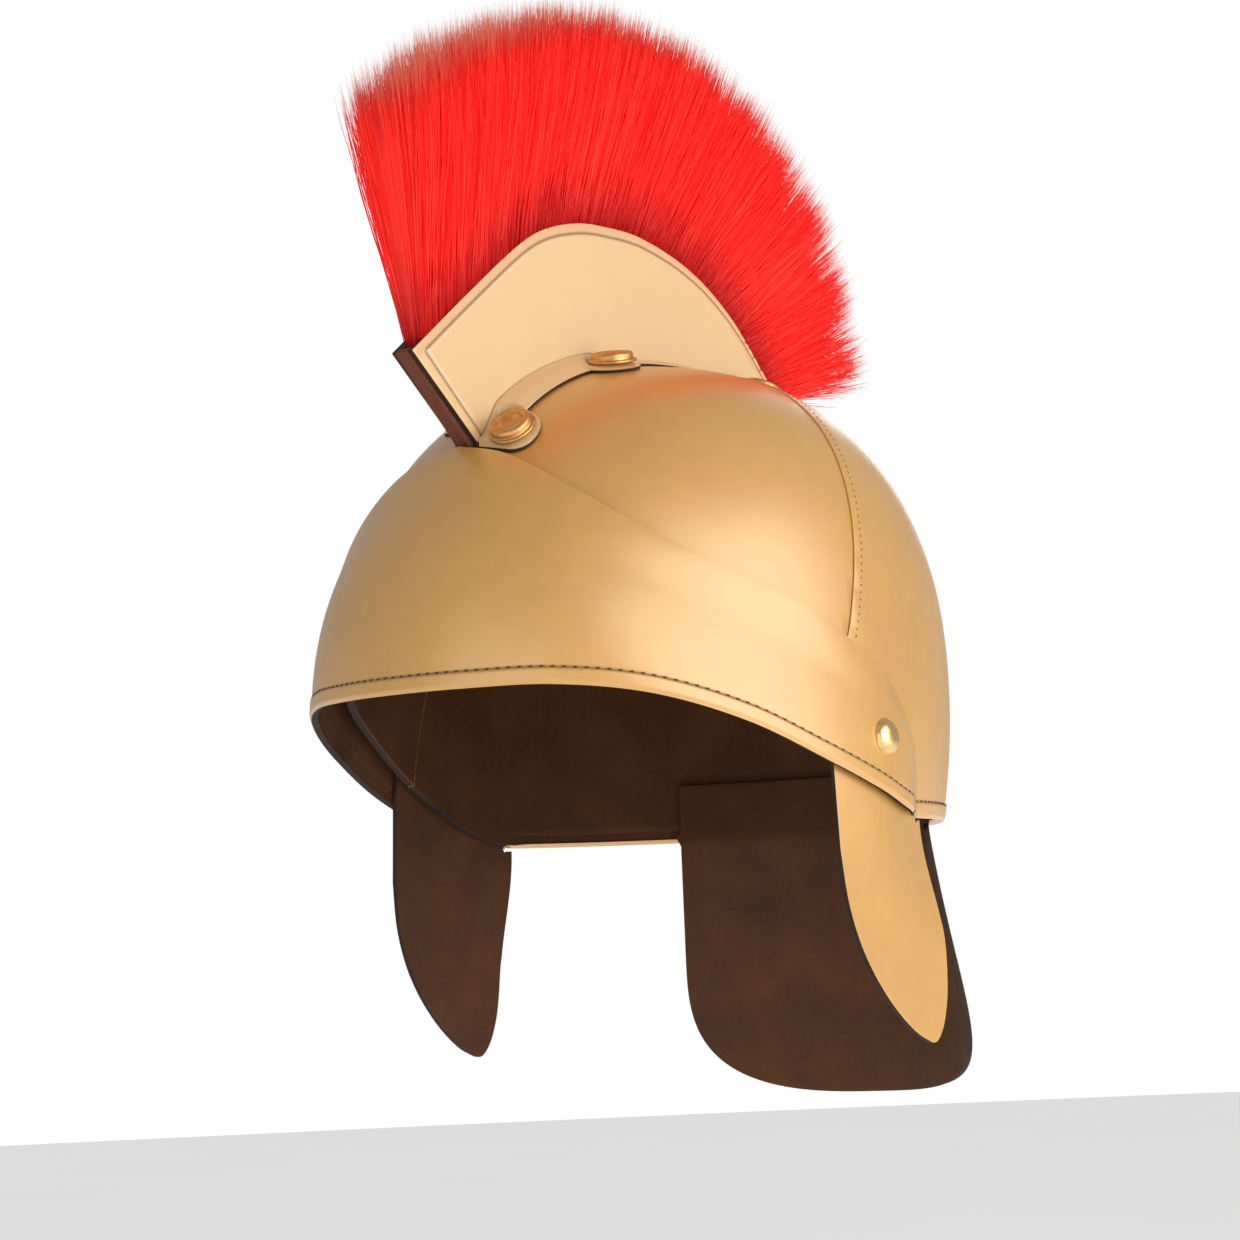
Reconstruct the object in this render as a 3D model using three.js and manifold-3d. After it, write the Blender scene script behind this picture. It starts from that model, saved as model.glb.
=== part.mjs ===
// A worn gladiator helmet: a leather dome in two panels, a visor band, a crest holder with its
// plume, ringed rivets and studs, two cheek guards and a neck guard.
// Millimetres. +Z is up, -Y is the front and +X is the wearer's left.
// Heights in this file are above the brow level, where the dome's wall turns upright.
// A turn is the angle round the helmet, 0 at the front and 90 degrees at the wearer's left ear.

import * as THREE from 'three';
import { mergeVertices } from 'three/addons/utils/BufferGeometryUtils.js';
import Module from 'manifold-3d';

// Dome
const domeHalfWidth = 90;
const domeFrontDepth = 104.4;
const domeRearDepth = 98;
const domeHeight = 106;
const domeFullness = 2.32;
const domeWall = 2.5;
const rimDrop = 41;
const rimDrawIn = 4;
const rimTuck = 8;
const rimTuckTurn = 60;
const turnedFaces = 48;
const crownRings = 9;
const clearance = 0.3;

// Seam between the two dome panels, from ear to ear over the crown
const seamAhead = 17.5;
const seamLean = 18.5;

// Visor band, with its turned hem and a snipped notch near each end of the hem
const visorRise = 73.4;
const visorWall = 2.2;
const visorEndWall = 1.2;
const visorSideStand = 6.2;
const visorFrontStand = 9.9;
const visorEndTurn = 102;
const visorEndStand = 0.36;
const visorThinTurn = 92;
const visorTaperTurn = 84;
const hemHeight = 5;
const hemRaise = 0.5;
const hemFade = 4;
const notchTurn = 99;
const notchWidth = 1.6;
const notchHeight = 4.2;

// Crest holder: two sheets, each with a foot turned out on the dome, and a packing between them
const crestSheet = 2;
const crestGap = 5;
const crestOverhang = 3.6;
const crestRearShare = 0.735;
const crestRise = 44.3;
const toeGap = 1;
const footWidth = 8;
const foldRise = 6.5;
const foldFadeShare = 0.9;
const foldFullShare = 1.6;
const rosetteAside = 10;
const tabRadius = 8.6;
const packingProud = 0.5;
const packingLip = 2.2;
const rootDepth = 5;

// Plume
const plumeReach = 86;
const plumeHalfWidth = 19;
const lockCount = 13;
const firstLock = 0.055;
const lastLock = 0.93;
const backingRise = 1.5;
const plumePartShare = 0.15;

// Rivets and studs
const rosetteRadius = 6.5;
const rosetteHeight = 2.6;
const washerRadius = 7.6;
const washerThickness = 0.8;
const studRadius = 5.6;
const studHeight = 3;
const studTurn = 88;
const studDrop = 17.5;

// Cheek guards
const cheekWall = 1.6;
const cheekFrontTurn = 76.5;
const cheekRearTurn = 103;
const cheekDrop = 109.2;
const cheekFlare = 5;
const cheekFlatFromShare = 0.02;
const cheekFlatToShare = 0.4;

// Neck guard
const neckWall = 2;
const neckSideTurn = 141;
const neckDrop = 126;
const neckLap = 19;
const neckFlare = 16;
const neckSideShare = 0.55;
const cornerFullness = 3;

// Shares of rimDrop at which the dome's upright wall has a row of corners
const wallRows = [0.3, 0.6];

// Shares of the visor band's height, from its top edge to its hem, at which it has a row of corners
const bandRows = [0, 0.16, 0.34, 0.54, 0.77, 1];

// Height of the visor band's two edges, top as a share of visorRise and low as a share of rimDrop
const visorEdges = [
  { turn: 0, top: 1.0, low: 0.0 },
  { turn: 15, top: 0.94, low: 0.0 },
  { turn: 30, top: 0.785, low: -0.01 },
  { turn: 45, top: 0.594, low: -0.1 },
  { turn: 60, top: 0.418, low: -0.31 },
  { turn: 75, top: 0.252, low: -0.61 },
  { turn: 90, top: 0.03, low: -0.88 },
  { turn: 97, top: -0.09, low: -0.96 },
  { turn: 102, top: -0.23, low: -1.0 },
];

// Top edge of the crest sheets: back is a share of the crest's length, up a share of crestTop
const crestEdge = [
  { back: 0.0, up: 0.686 },
  { back: 0.147, up: 0.823 },
  { back: 0.277, up: 0.937 },
  { back: 0.341, up: 0.975 },
  { back: 0.42, up: 0.997 },
  { back: 0.486, up: 1.0 },
  { back: 0.591, up: 0.988 },
  { back: 0.724, up: 0.932 },
  { back: 0.83, up: 0.844 },
  { back: 0.92, up: 0.724 },
  { back: 0.966, up: 0.645 },
  { back: 1.0, up: 0.565 },
];

// Rivets of the crest's feet, left and right as shares of the foot's length on the dome
const rosettes = [
  { name: 'front', left: 0.045, right: 0.135 },
  { name: 'middle', left: 0.36, right: 0.36 },
  { name: 'rear', left: 0.78, right: 0.78 },
];

// Turned outline of a ringed rivet: out as a share of rosetteRadius, and down from its top face
const rosetteProfile = [
  { out: 1.0, down: 0.7 },
  { out: 0.86, down: 0.1 },
  { out: 0.68, down: 0.9 },
  { out: 0.5, down: 0.9 },
  { out: 0.36, down: 0 },
  { out: 0, down: 0 },
];

// Heights of each plume lock beside its neighbours, as shares of its reach
const shortening = [1, 0.955, 0.985, 0.94];

// Plume locks: root as a share of the crest's length, lean in degrees to the rear from upright,
// reach as a share of plumeReach
const plumeFan = [
  { root: 0.0, lean: -8, reach: 1.0 },
  { root: 0.147, lean: -4, reach: 0.965 },
  { root: 0.277, lean: 0, reach: 0.875 },
  { root: 0.42, lean: 7, reach: 0.845 },
  { root: 0.591, lean: 20, reach: 0.835 },
  { root: 0.724, lean: 33, reach: 0.78 },
  { root: 0.83, lean: 48, reach: 0.7 },
  { root: 0.92, lean: 64, reach: 0.53 },
  { root: 1.0, lean: 70, reach: 0.39 },
];

// One lock from root to tip: along as a share of its reach, spread from the channel's width to
// plumeHalfWidth, and deep as a share of the room that each lock has along the crest
const lockSections = [
  { along: -0.03, spread: 0.0, deep: 0.62 },
  { along: 0.012, spread: 0.0, deep: 0.62 },
  { along: 0.12, spread: 0.36, deep: 0.68 },
  { along: 0.5, spread: 0.8, deep: 0.76 },
  { along: 0.84, spread: 1.0, deep: 0.64 },
  { along: 1.0, spread: 0.55, deep: 0.16 },
];

// Cheek guard outline: across as a share of its width from the front, top and low as heights,
// top as a share of rimDrop and low as a share of cheekDrop
const cheekOutline = [
  { across: 0.0, top: -0.35, low: -0.47 },
  { across: 0.03, top: -0.28, low: -0.59 },
  { across: 0.1, top: -0.23, low: -0.7 },
  { across: 0.2, top: -0.2, low: -0.79 },
  { across: 0.33, top: -0.2, low: -0.87 },
  { across: 0.46, top: -0.24, low: -0.93 },
  { across: 0.58, top: -0.3, low: -0.97 },
  { across: 0.68, top: -0.38, low: -0.99 },
  { across: 0.78, top: -0.52, low: -1.0 },
  { across: 0.87, top: -0.7, low: -0.965 },
  { across: 0.93, top: -1.02, low: -0.91 },
  { across: 0.97, top: -1.02, low: -0.84 },
  { across: 1.0, top: -1.02, low: -0.7 },
];

const wasm = await Module();
wasm.setup();

const radians = THREE.MathUtils.degToRad;
const mix = THREE.MathUtils.lerp;
const ease = THREE.MathUtils.smoothstep;

// Smooth value of one column of a table at a place along its first column
function follow(table, at, place, column) {
  const last = table.length - 1;
  const held = THREE.MathUtils.clamp(place, table[0][at], table[last][at]);
  let row = 0;
  while (row < last - 1 && table[row + 1][at] < held) {
    row += 1;
  }
  const slope = (k) => {
    const a = Math.max(k - 1, 0);
    const b = Math.min(k + 1, last);
    return (table[b][column] - table[a][column]) / (table[b][at] - table[a][at]);
  };
  const span = table[row + 1][at] - table[row][at];
  const t = (held - table[row][at]) / span;
  const from = table[row][column];
  const to = table[row + 1][column];
  const start = slope(row) * span;
  const end = slope(row + 1) * span;
  const ease0 = (1 + 2 * t) * (1 - t) ** 2;
  const ease1 = t ** 2 * (3 - 2 * t);
  return from * ease0 + to * ease1 + start * t * (1 - t) ** 2 + end * t ** 2 * (t - 1);
}

function steps(from, to, count) {
  return Array.from({ length: count + 1 }, (_, k) => mix(from, to, k / count));
}

// Closed geometry from points and triangles: equal points are merged, empty triangles dropped,
// and the faces turned out
function closed(points, triangles) {
  const soup = new THREE.BufferGeometry();
  const places = points.flatMap((point) => point.toArray());
  soup.setAttribute('position', new THREE.Float32BufferAttribute(places, 3));
  soup.setIndex(triangles.flat());
  return welded(soup);
}

function welded(geometry) {
  const bare = geometry.clone();
  bare.deleteAttribute('normal');
  bare.deleteAttribute('uv');
  const merged = mergeVertices(bare, 1e-4);
  const index = merged.index.array;
  const kept = [];
  for (let k = 0; k < index.length; k += 3) {
    const [a, b, c] = [index[k], index[k + 1], index[k + 2]];
    if (a !== b && b !== c && c !== a) {
      kept.push(a, b, c);
    }
  }
  if (signedVolume(merged.attributes.position, kept) < 0) {
    kept.reverse();
  }
  merged.setIndex(kept);
  return merged;
}

function signedVolume(position, index) {
  const corner = [new THREE.Vector3(), new THREE.Vector3(), new THREE.Vector3()];
  let volume = 0;
  for (let k = 0; k < index.length; k += 3) {
    corner.forEach((point, c) => point.fromBufferAttribute(position, index[k + c]));
    volume += corner[0].dot(corner[1].clone().cross(corner[2])) / 6;
  }
  return volume;
}

// Closed sheet between two grids of points, rows by columns
function sheet(outer, inner) {
  const rows = outer.length;
  const columns = outer[0].length;
  const end = columns - 1;
  const points = [...outer.flat(), ...inner.flat()];
  const at = (side, row, column) => side * rows * columns + row * columns + column;
  const triangles = [];
  const quad = (a, b, c, d) => triangles.push([a, b, c], [a, c, d]);
  for (let row = 0; row < rows - 1; row += 1) {
    const next = row + 1;
    for (let column = 0; column < end; column += 1) {
      quad(at(0, row, column), at(0, next, column), at(0, next, column + 1), at(0, row, column + 1));
      quad(at(1, row, column), at(1, row, column + 1), at(1, next, column + 1), at(1, next, column));
    }
    quad(at(0, row, 0), at(1, row, 0), at(1, next, 0), at(0, next, 0));
    quad(at(0, row, end), at(0, next, end), at(1, next, end), at(1, row, end));
  }
  const low = rows - 1;
  for (let column = 0; column < end; column += 1) {
    quad(at(0, 0, column), at(0, 0, column + 1), at(1, 0, column + 1), at(1, 0, column));
    quad(at(0, low, column), at(1, low, column), at(1, low, column + 1), at(0, low, column + 1));
  }
  return closed(points, triangles);
}

// Closed loft through rings of points; flat lays a ring out in two directions for the caps
function loft(rings, flat) {
  const count = rings[0].length;
  const triangles = [];
  for (let k = 0; k < rings.length - 1; k += 1) {
    for (let side = 0; side < count; side += 1) {
      const [a, b] = [k * count + side, k * count + ((side + 1) % count)];
      triangles.push([a, b, b + count], [a, b + count, a + count]);
    }
  }
  const last = rings.length - 1;
  triangles.push(...cap(rings[0].map(flat), 0, -1), ...cap(rings[last].map(flat), last * count, 1));
  return closed(rings.flat(), triangles);
}

// Triangles over a flat ring, turned the ring's own way or, with way -1, the other way
function cap(ring, first, way) {
  const turn = way * Math.sign(THREE.ShapeUtils.area(ring));
  return THREE.ShapeUtils.triangulateShape(ring, []).map(([a, b, c]) => {
    const same = Math.sign(THREE.ShapeUtils.area([ring[a], ring[b], ring[c]])) === turn;
    return (same ? [a, b, c] : [a, c, b]).map((corner) => corner + first);
  });
}

function solid(geometry) {
  const merged = welded(geometry);
  return new wasm.Manifold(
    new wasm.Mesh({
      numProp: 3,
      vertProperties: new Float32Array(merged.attributes.position.array),
      triVerts: new Uint32Array(merged.index.array),
    }),
  );
}

function geometryOf(body) {
  const mesh = body.getMesh();
  const geometry = new THREE.BufferGeometry();
  geometry.setAttribute('position', new THREE.BufferAttribute(mesh.vertProperties, 3));
  geometry.setIndex(new THREE.BufferAttribute(mesh.triVerts, 1));
  return geometry;
}

// Share of the dome's half width and depth that is left at a height; the wall draws in a little
// towards the rim
function domeShare(height) {
  if (height < 0) {
    return 1 - (rimDrawIn / domeHalfWidth) * (height / rimDrop) ** 2;
  }
  return Math.max(1 - (height / domeHeight) ** domeFullness, 0) ** (1 / domeFullness);
}

function domeDepth(y) {
  return y < 0 ? domeFrontDepth : domeRearDepth;
}

function domeNormal(point) {
  const depth = domeDepth(point.y);
  const share = Math.max(Math.hypot(point.x / domeHalfWidth, point.y / depth), 1e-6);
  const side = share ** (domeFullness - 2);
  const up = Math.max(point.z, 0) ** (domeFullness - 1) / domeHeight ** domeFullness;
  const across = (side * point.x) / domeHalfWidth ** 2;
  const along = (side * point.y) / depth ** 2;
  return new THREE.Vector3(across, along, up).normalize();
}

// Point of the dome's outer face at a turn and a height, moved out by an offset
function domePoint(turn, height, offset = 0) {
  const share = domeShare(height);
  const depth = Math.cos(turn) > 0 ? domeFrontDepth : domeRearDepth;
  const [x, y] = [domeHalfWidth * share * Math.sin(turn), -depth * share * Math.cos(turn)];
  const point = new THREE.Vector3(x, y, height);
  const normal = share > 0 ? domeNormal(point) : new THREE.Vector3(0, 0, 1);
  return point.addScaledVector(normal, offset);
}

// Height of the dome above a place of its plan, with an offset square to its face
function domeOver(x, y, offset = 0) {
  const share = Math.min(Math.hypot(x / domeHalfWidth, y / domeDepth(y)), 0.999);
  const height = domeHeight * (1 - share ** domeFullness) ** (1 / domeFullness);
  return height + offset / domeNormal(new THREE.Vector3(x, y, height)).z;
}

// Degrees that a turn lies from the front, to either side
function fromFront(turn) {
  return Math.abs(THREE.MathUtils.radToDeg(turn));
}

function visorTop(turn) {
  return visorRise * follow(visorEdges, 'turn', fromFront(turn), 'top');
}

function visorLow(turn) {
  return rimDrop * follow(visorEdges, 'turn', fromFront(turn), 'low');
}

// Share of the visor's stand from the dome that is left towards its ends
function visorTaper(turn) {
  return mix(1, visorEndStand, ease(fromFront(turn), visorTaperTurn, visorEndTurn));
}

// Inner face of the visor band: on the dome at its top edge, and standing off it towards the hem
function visorInner(turn, height) {
  const drop = (visorTop(turn) - height) / (visorTop(turn) - visorLow(turn));
  const down = THREE.MathUtils.clamp(drop, 0, 1);
  const stand = down * (2 - down) * visorTaper(turn);
  const point = domePoint(turn, height, clearance);
  point.x += stand * visorSideStand * Math.sin(turn);
  point.y -= stand * visorFrontStand * Math.cos(turn);
  return point;
}

function visorNormal(turn, height) {
  const aside = 0.01;
  const over = 0.2;
  const across = visorInner(turn + aside, height).sub(visorInner(turn - aside, height));
  const up = visorInner(turn, height + over).sub(visorInner(turn, height - over));
  return across.cross(up).normalize();
}

function visorOuter(turn, height, raise = 0) {
  const nearEnd = ease(fromFront(turn), visorThinTurn, visorEndTurn);
  const wall = mix(visorWall, visorEndWall, nearEnd) + raise;
  return visorInner(turn, height).addScaledVector(visorNormal(turn, height), wall);
}

// Height of the dome's own rim, tucked up behind the visor band
function rimHeight(turn) {
  return visorLow(turn) + rimTuck * (1 - ease(fromFront(turn), rimTuckTurn, visorEndTurn));
}

// Whole dome shell, with the hem raised round its open rim behind the visor band
function domeShell() {
  const turns = steps(-Math.PI, Math.PI, turnedFaces).slice(0, -1);
  const angles = steps(Math.PI / 2, 0, crownRings);
  const rise = angles.map((angle) => domeHeight * Math.sin(angle) ** (2 / domeFullness));
  const wall = wallRows.map((share) => -share * rimDrop);
  const column = (turn, inside) => {
    const rim = rimHeight(turn);
    const raise = hemRaise * ease(fromFront(turn), visorEndTurn, visorEndTurn + hemFade);
    const hemTop = rim + hemHeight;
    const plain = [...rise, ...wall].map((height) => Math.max(height, hemTop + hemRaise));
    const rows = [
      ...plain.map((height) => ({ height, out: 0 })),
      { height: hemTop + hemRaise, out: 0 },
      { height: hemTop, out: raise },
      { height: rim, out: raise },
    ];
    return rows.map(({ height, out }) => domePoint(turn, height, inside ? -domeWall : out));
  };
  const outerColumns = turns.map((turn) => column(turn, false));
  const innerColumns = turns.map((turn) => column(turn, true));
  const toRows = (columns) => columns[0].map((_, row) => columns.map((points) => points[row]));
  return poleShell(toRows(outerColumns), toRows(innerColumns));
}

// Shell of rings whose first row is one point at the crown
function poleShell(outer, inner) {
  const columns = outer[0].length;
  const rows = outer.length;
  const points = [...outer.flat(), ...inner.flat()];
  const at = (side, row, column) => side * rows * columns + row * columns + (column % columns);
  const triangles = [];
  for (let column = 0; column < columns; column += 1) {
    for (let row = 0; row < rows - 1; row += 1) {
      const [a, b] = [at(0, row, column), at(0, row, column + 1)];
      const [c, d] = [at(0, row + 1, column + 1), at(0, row + 1, column)];
      triangles.push([a, d, c], [a, c, b]);
      const [e, f] = [at(1, row, column), at(1, row, column + 1)];
      const [g, h] = [at(1, row + 1, column + 1), at(1, row + 1, column)];
      triangles.push([e, g, h], [e, f, g]);
    }
    const low = rows - 1;
    const [from, to] = [at(0, low, column), at(0, low, column + 1)];
    const [inFrom, inTo] = [at(1, low, column), at(1, low, column + 1)];
    triangles.push([from, inTo, to], [from, inFrom, inTo]);
  }
  return closed(points, triangles);
}

// Block that covers everything on one side of the seam, from half the clearance away
function seamSide(way) {
  const size = 4 * (domeHeight + domeFrontDepth + domeRearDepth);
  const block = new THREE.BoxGeometry(size, size, size);
  block.translate(0, (way * (size + clearance)) / 2, 0);
  block.rotateX(-radians(seamLean));
  block.translate(0, -seamAhead, 0);
  return solid(block);
}

function visorBand() {
  const end = radians(visorEndTurn);
  const turns = steps(-end, end, 40);
  const rowsAt = (turn) => {
    const [top, low] = [visorTop(turn), visorLow(turn)];
    const hemTop = Math.min(low + hemHeight, top - 2 * hemRaise);
    const band = bandRows.map((share) => ({ height: mix(top, hemTop + hemRaise, share), raise: 0 }));
    return [...band, { height: hemTop, raise: hemRaise }, { height: low, raise: hemRaise }];
  };
  const rows = rowsAt(0).map((_, row) => row);
  const grid = (face) => rows.map((row) => turns.map((turn) => face(turn, rowsAt(turn)[row])));
  const outer = grid((turn, { height, raise }) => visorOuter(turn, height, raise));
  const inner = grid((turn, { height }) => visorInner(turn, height));
  let band = solid(sheet(outer, inner));
  [-1, 1].forEach((side) => {
    band = band.subtract(solid(hemNotch(side)));
  });
  return geometryOf(band);
}

// Wedge that snips the hem near one end of the visor band
function hemNotch(side) {
  const turn = radians(notchTurn) * side;
  const depth = 6 * visorWall;
  const outline = new THREE.Shape([
    new THREE.Vector2(-notchWidth / 2, -notchHeight),
    new THREE.Vector2(notchWidth / 2, -notchHeight),
    new THREE.Vector2(0, notchHeight),
  ]);
  const wedge = new THREE.ExtrudeGeometry(outline, { depth, bevelEnabled: false });
  wedge.translate(0, 0, -depth / 2);
  wedge.rotateX(Math.PI / 2);
  wedge.rotateZ(turn);
  const place = visorInner(turn, visorLow(turn));
  wedge.translate(place.x, place.y, place.z);
  return wedge;
}

// The crest reaches a little ahead of the dome and stops short of its rear, and its toe stands on
// the dome just above the visor band's top edge
const crestFront = domeFrontDepth + crestOverhang;
const crestRear = crestRearShare * domeRearDepth;
const crestTop = domeHeight + crestRise;
const crestToe = domeFrontDepth * domeShare(visorRise + toeGap);
const crestInside = crestGap / 2;
const crestOutside = crestInside + crestSheet;
const rosetteX = crestOutside + rosetteAside;

function crestEdgePoint(back) {
  return {
    y: mix(-crestFront, crestRear, back),
    z: crestTop * follow(crestEdge, 'back', back, 'up'),
  };
}

function crestEdgeTangent(back) {
  const step = 0.01;
  const from = crestEdgePoint(Math.max(back - step, 0));
  const to = crestEdgePoint(Math.min(back + step, 1));
  return new THREE.Vector2(to.y - from.y, to.z - from.z).normalize();
}

// Place at a depth square below the crest's top edge
function channelPoint(back, depth) {
  const edge = crestEdgePoint(back);
  const tangent = crestEdgeTangent(back);
  return new THREE.Vector2(edge.y + tangent.y * depth, edge.z - tangent.x * depth);
}

// Places along the crest's foot on the dome, with the length that each lies from the toe
const footPath = (() => {
  const count = 160;
  const path = steps(-crestToe, crestRear, count).map((y) => ({ y, z: domeOver(rosetteX, y), length: 0 }));
  for (let k = 1; k <= count; k += 1) {
    const [from, to] = [path[k - 1], path[k]];
    to.length = from.length + Math.hypot(to.y - from.y, to.z - from.z);
  }
  return path;
})();
const footLength = footPath[footPath.length - 1].length;

function footAt(length) {
  const held = THREE.MathUtils.clamp(length, 0, footLength);
  const next = Math.max(footPath.findIndex((place) => place.length >= held), 1);
  const [a, b] = [footPath[next - 1], footPath[next]];
  return mix(a.y, b.y, (held - a.length) / (b.length - a.length));
}

const sides = [
  { label: 'left', side: 1 },
  { label: 'right', side: -1 },
];

// Name and length from the toe of each rivet of one foot
function rosettePlaces(side) {
  const { label } = sides.find((each) => each.side === side);
  return rosettes.map((row) => ({
    name: row.name,
    length: Math.max(row[label] * footLength, tabRadius + clearance),
  }));
}

// Outer edge of the crest's foot, with a round tab under each rivet
function footEdge(side, length) {
  const tabs = rosettePlaces(side).map((place) => {
    const off = (length - place.length) / tabRadius;
    return Math.abs(off) < 1 ? rosetteX + tabRadius * Math.sqrt(1 - off * off) : 0;
  });
  return Math.max(crestOutside + footWidth, ...tabs);
}

// How much of the fold's rise there is at a length, none beside a rivet
function foldShare(side, length) {
  const shares = rosettePlaces(side).map((place) => {
    const off = Math.abs(length - place.length) / tabRadius;
    return ease(off, foldFadeShare, foldFullShare);
  });
  return Math.min(...shares);
}

function footStations(side) {
  const plain = steps(0, footLength, 16);
  const spread = [-foldFullShare, -0.99, -0.85, -0.5, 0, 0.5, 0.85, 0.99, foldFullShare];
  const aroundTab = ({ length }) => spread.map((share) => length + share * tabRadius);
  const tabs = rosettePlaces(side).flatMap(aroundTab);
  const onFoot = [...plain, ...tabs].filter((station) => station >= 0 && station <= footLength);
  const sorted = onFoot.sort((a, b) => a - b);
  return sorted.filter((station, k) => k === 0 || station - sorted[k - 1] > 1 || station === footLength);
}

// One sheet of the crest holder, side is 1 for the wearer's left
function crestPlate(side) {
  const lift = clearance + crestSheet;
  const rings = footStations(side).map((length) => {
    const y = footAt(length);
    const top = crestEdgePoint(length / footLength);
    const edge = footEdge(side, length);
    const rise = (foldRise - lift) * foldShare(side, length);
    const shares = [0, 0.34, 0.67, 1];
    const across = shares.map((share) => mix(crestOutside, edge, share));
    const under = [crestInside, ...across].map((x) => [x, y, domeOver(x, y, clearance)]);
    const over = across.map((x, k) => [x, y, domeOver(x, y, lift) + rise * (1 - shares[k])]);
    const ring = [
      ...under,
      ...over.reverse(),
      [crestOutside, top.y, top.z],
      [crestInside, top.y, top.z],
    ];
    return ring.map(([x, py, pz]) => new THREE.Vector3(side * x, py, pz));
  });
  return loft(rings, (point) => new THREE.Vector2(point.x * side, point.z));
}

// Packing between the crest's sheets: a lip flush with their front corners, then a channel for the
// plume's backing along the top
function crestPacking() {
  const half = crestInside - clearance;
  const lip = packingLip / (crestFront + crestRear);
  const places = [0, lip, lip * 1.01, ...steps(lip, 1, 22).slice(1)];
  const rings = places.map((back, row) => {
    const base = new THREE.Vector2(footAt(back * footLength), 0);
    base.y = domeOver(0, base.x, clearance);
    const depth = row < 2 ? 0 : rootDepth * (1 - ease(back, lastLock, 1));
    const top = channelPoint(back, depth);
    const line = top.clone().sub(base);
    const proud = row === 0 ? packingProud : 0;
    const ahead = new THREE.Vector2(-line.y, line.x).setLength(proud);
    const corners = [base.add(ahead), top.add(ahead)];
    return [
      new THREE.Vector3(-half, corners[0].x, corners[0].y),
      new THREE.Vector3(half, corners[0].x, corners[0].y),
      new THREE.Vector3(half, corners[1].x, corners[1].y),
      new THREE.Vector3(-half, corners[1].x, corners[1].y),
    ];
  });
  return loft(rings, (point) => new THREE.Vector2(point.x, point.z));
}

// Room that each lock has along the crest
const lockRoom = (crestFront + crestRear) / lockCount;

function plumeLock(back, side, shorten) {
  const root = crestEdgePoint(back);
  const lean = radians(follow(plumeFan, 'root', back, 'lean'));
  const reach = plumeReach * follow(plumeFan, 'root', back, 'reach') * shorten;
  const rootLine = crestEdgeTangent(back);
  const near = 0.02;
  const ahead = tipPoint(back - near);
  const behind = tipPoint(back + near);
  const tipLine = new THREE.Vector2(behind.y - ahead.y, behind.z - ahead.z);
  const tipRoom = tipLine.length() / (2 * near * lockCount);
  tipLine.normalize();
  const corners = [30, 90, 150, 210, 270, 330].map((degrees) => radians(degrees));
  const rootHalf = crestInside - 2 * clearance;
  const rings = lockSections.map(({ along, spread, deep }, row) => {
    const out = Math.max(along, 0);
    const line = rootLine.clone().lerp(tipLine, out).normalize();
    const outer = mix(rootHalf, plumeHalfWidth, spread);
    const parted = mix(-plumePartShare, plumePartShare, ease(row, 3, lockSections.length - 1));
    const inner = row < 2 ? -outer : parted * outer;
    const depth = mix(lockRoom, tipRoom, out) * deep;
    const y = root.y + Math.sin(lean) * reach * along;
    const z = root.z + Math.cos(lean) * reach * along;
    return corners.map((angle) => {
      const run = depth * Math.cos(angle);
      const aside = side * mix(inner, outer, (1 + Math.sin(angle)) / 2);
      return new THREE.Vector3(aside, y + line.x * run, z + line.y * run);
    });
  });
  const flat = ({ x, y, z }) => new THREE.Vector2(x, y * Math.cos(lean) - z * Math.sin(lean));
  return loft(rings, flat);
}

function tipPoint(back) {
  const held = THREE.MathUtils.clamp(back, 0, 1);
  const root = crestEdgePoint(held);
  const lean = radians(follow(plumeFan, 'root', held, 'lean'));
  const reach = plumeReach * follow(plumeFan, 'root', held, 'reach');
  return { y: root.y + Math.sin(lean) * reach, z: root.z + Math.cos(lean) * reach };
}

// Backing of the plume: a strip in the channel between the crest's sheets
function plumeBacking() {
  const half = crestInside - clearance * 2;
  const rings = steps(firstLock / 2, lastLock, 24).map((back) => {
    const low = channelPoint(back, rootDepth - 2 * clearance);
    const high = channelPoint(back, -backingRise);
    return [
      new THREE.Vector3(-half, low.x, low.y),
      new THREE.Vector3(half, low.x, low.y),
      new THREE.Vector3(half, high.x, high.y),
      new THREE.Vector3(-half, high.x, high.y),
    ];
  });
  return loft(rings, (point) => new THREE.Vector2(point.x, point.y + point.z));
}

function plume() {
  let crest = solid(plumeBacking());
  for (let k = 0; k < lockCount; k += 1) {
    const back = mix(firstLock, lastLock, k / (lockCount - 1));
    [-1, 1].forEach((side, row) => {
      crest = crest.add(solid(plumeLock(back, side, shortening[(k + 2 * row) % shortening.length])));
    });
  }
  return geometryOf(crest);
}

// Ringed rivet head on its washer, turned about its own axis
function rosette() {
  const top = washerThickness + rosetteHeight;
  const washer = [
    [0, 0],
    [washerRadius, 0],
    [washerRadius, washerThickness],
    [rosetteRadius, washerThickness],
  ];
  const head = rosetteProfile.map(({ out, down }) => [rosetteRadius * out, top - down]);
  return new THREE.LatheGeometry([...washer, ...head].map(([r, y]) => new THREE.Vector2(r, y)), 12);
}

function domedStud() {
  const arc = steps(0, Math.PI / 2, 4).slice(0, -1);
  const dome = arc.map((angle) => [studRadius * Math.cos(angle), studHeight * Math.sin(angle)]);
  const profile = [[0, 0], ...dome, [0, studHeight]];
  return new THREE.LatheGeometry(profile.map(([r, y]) => new THREE.Vector2(r, y)), 12);
}

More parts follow.
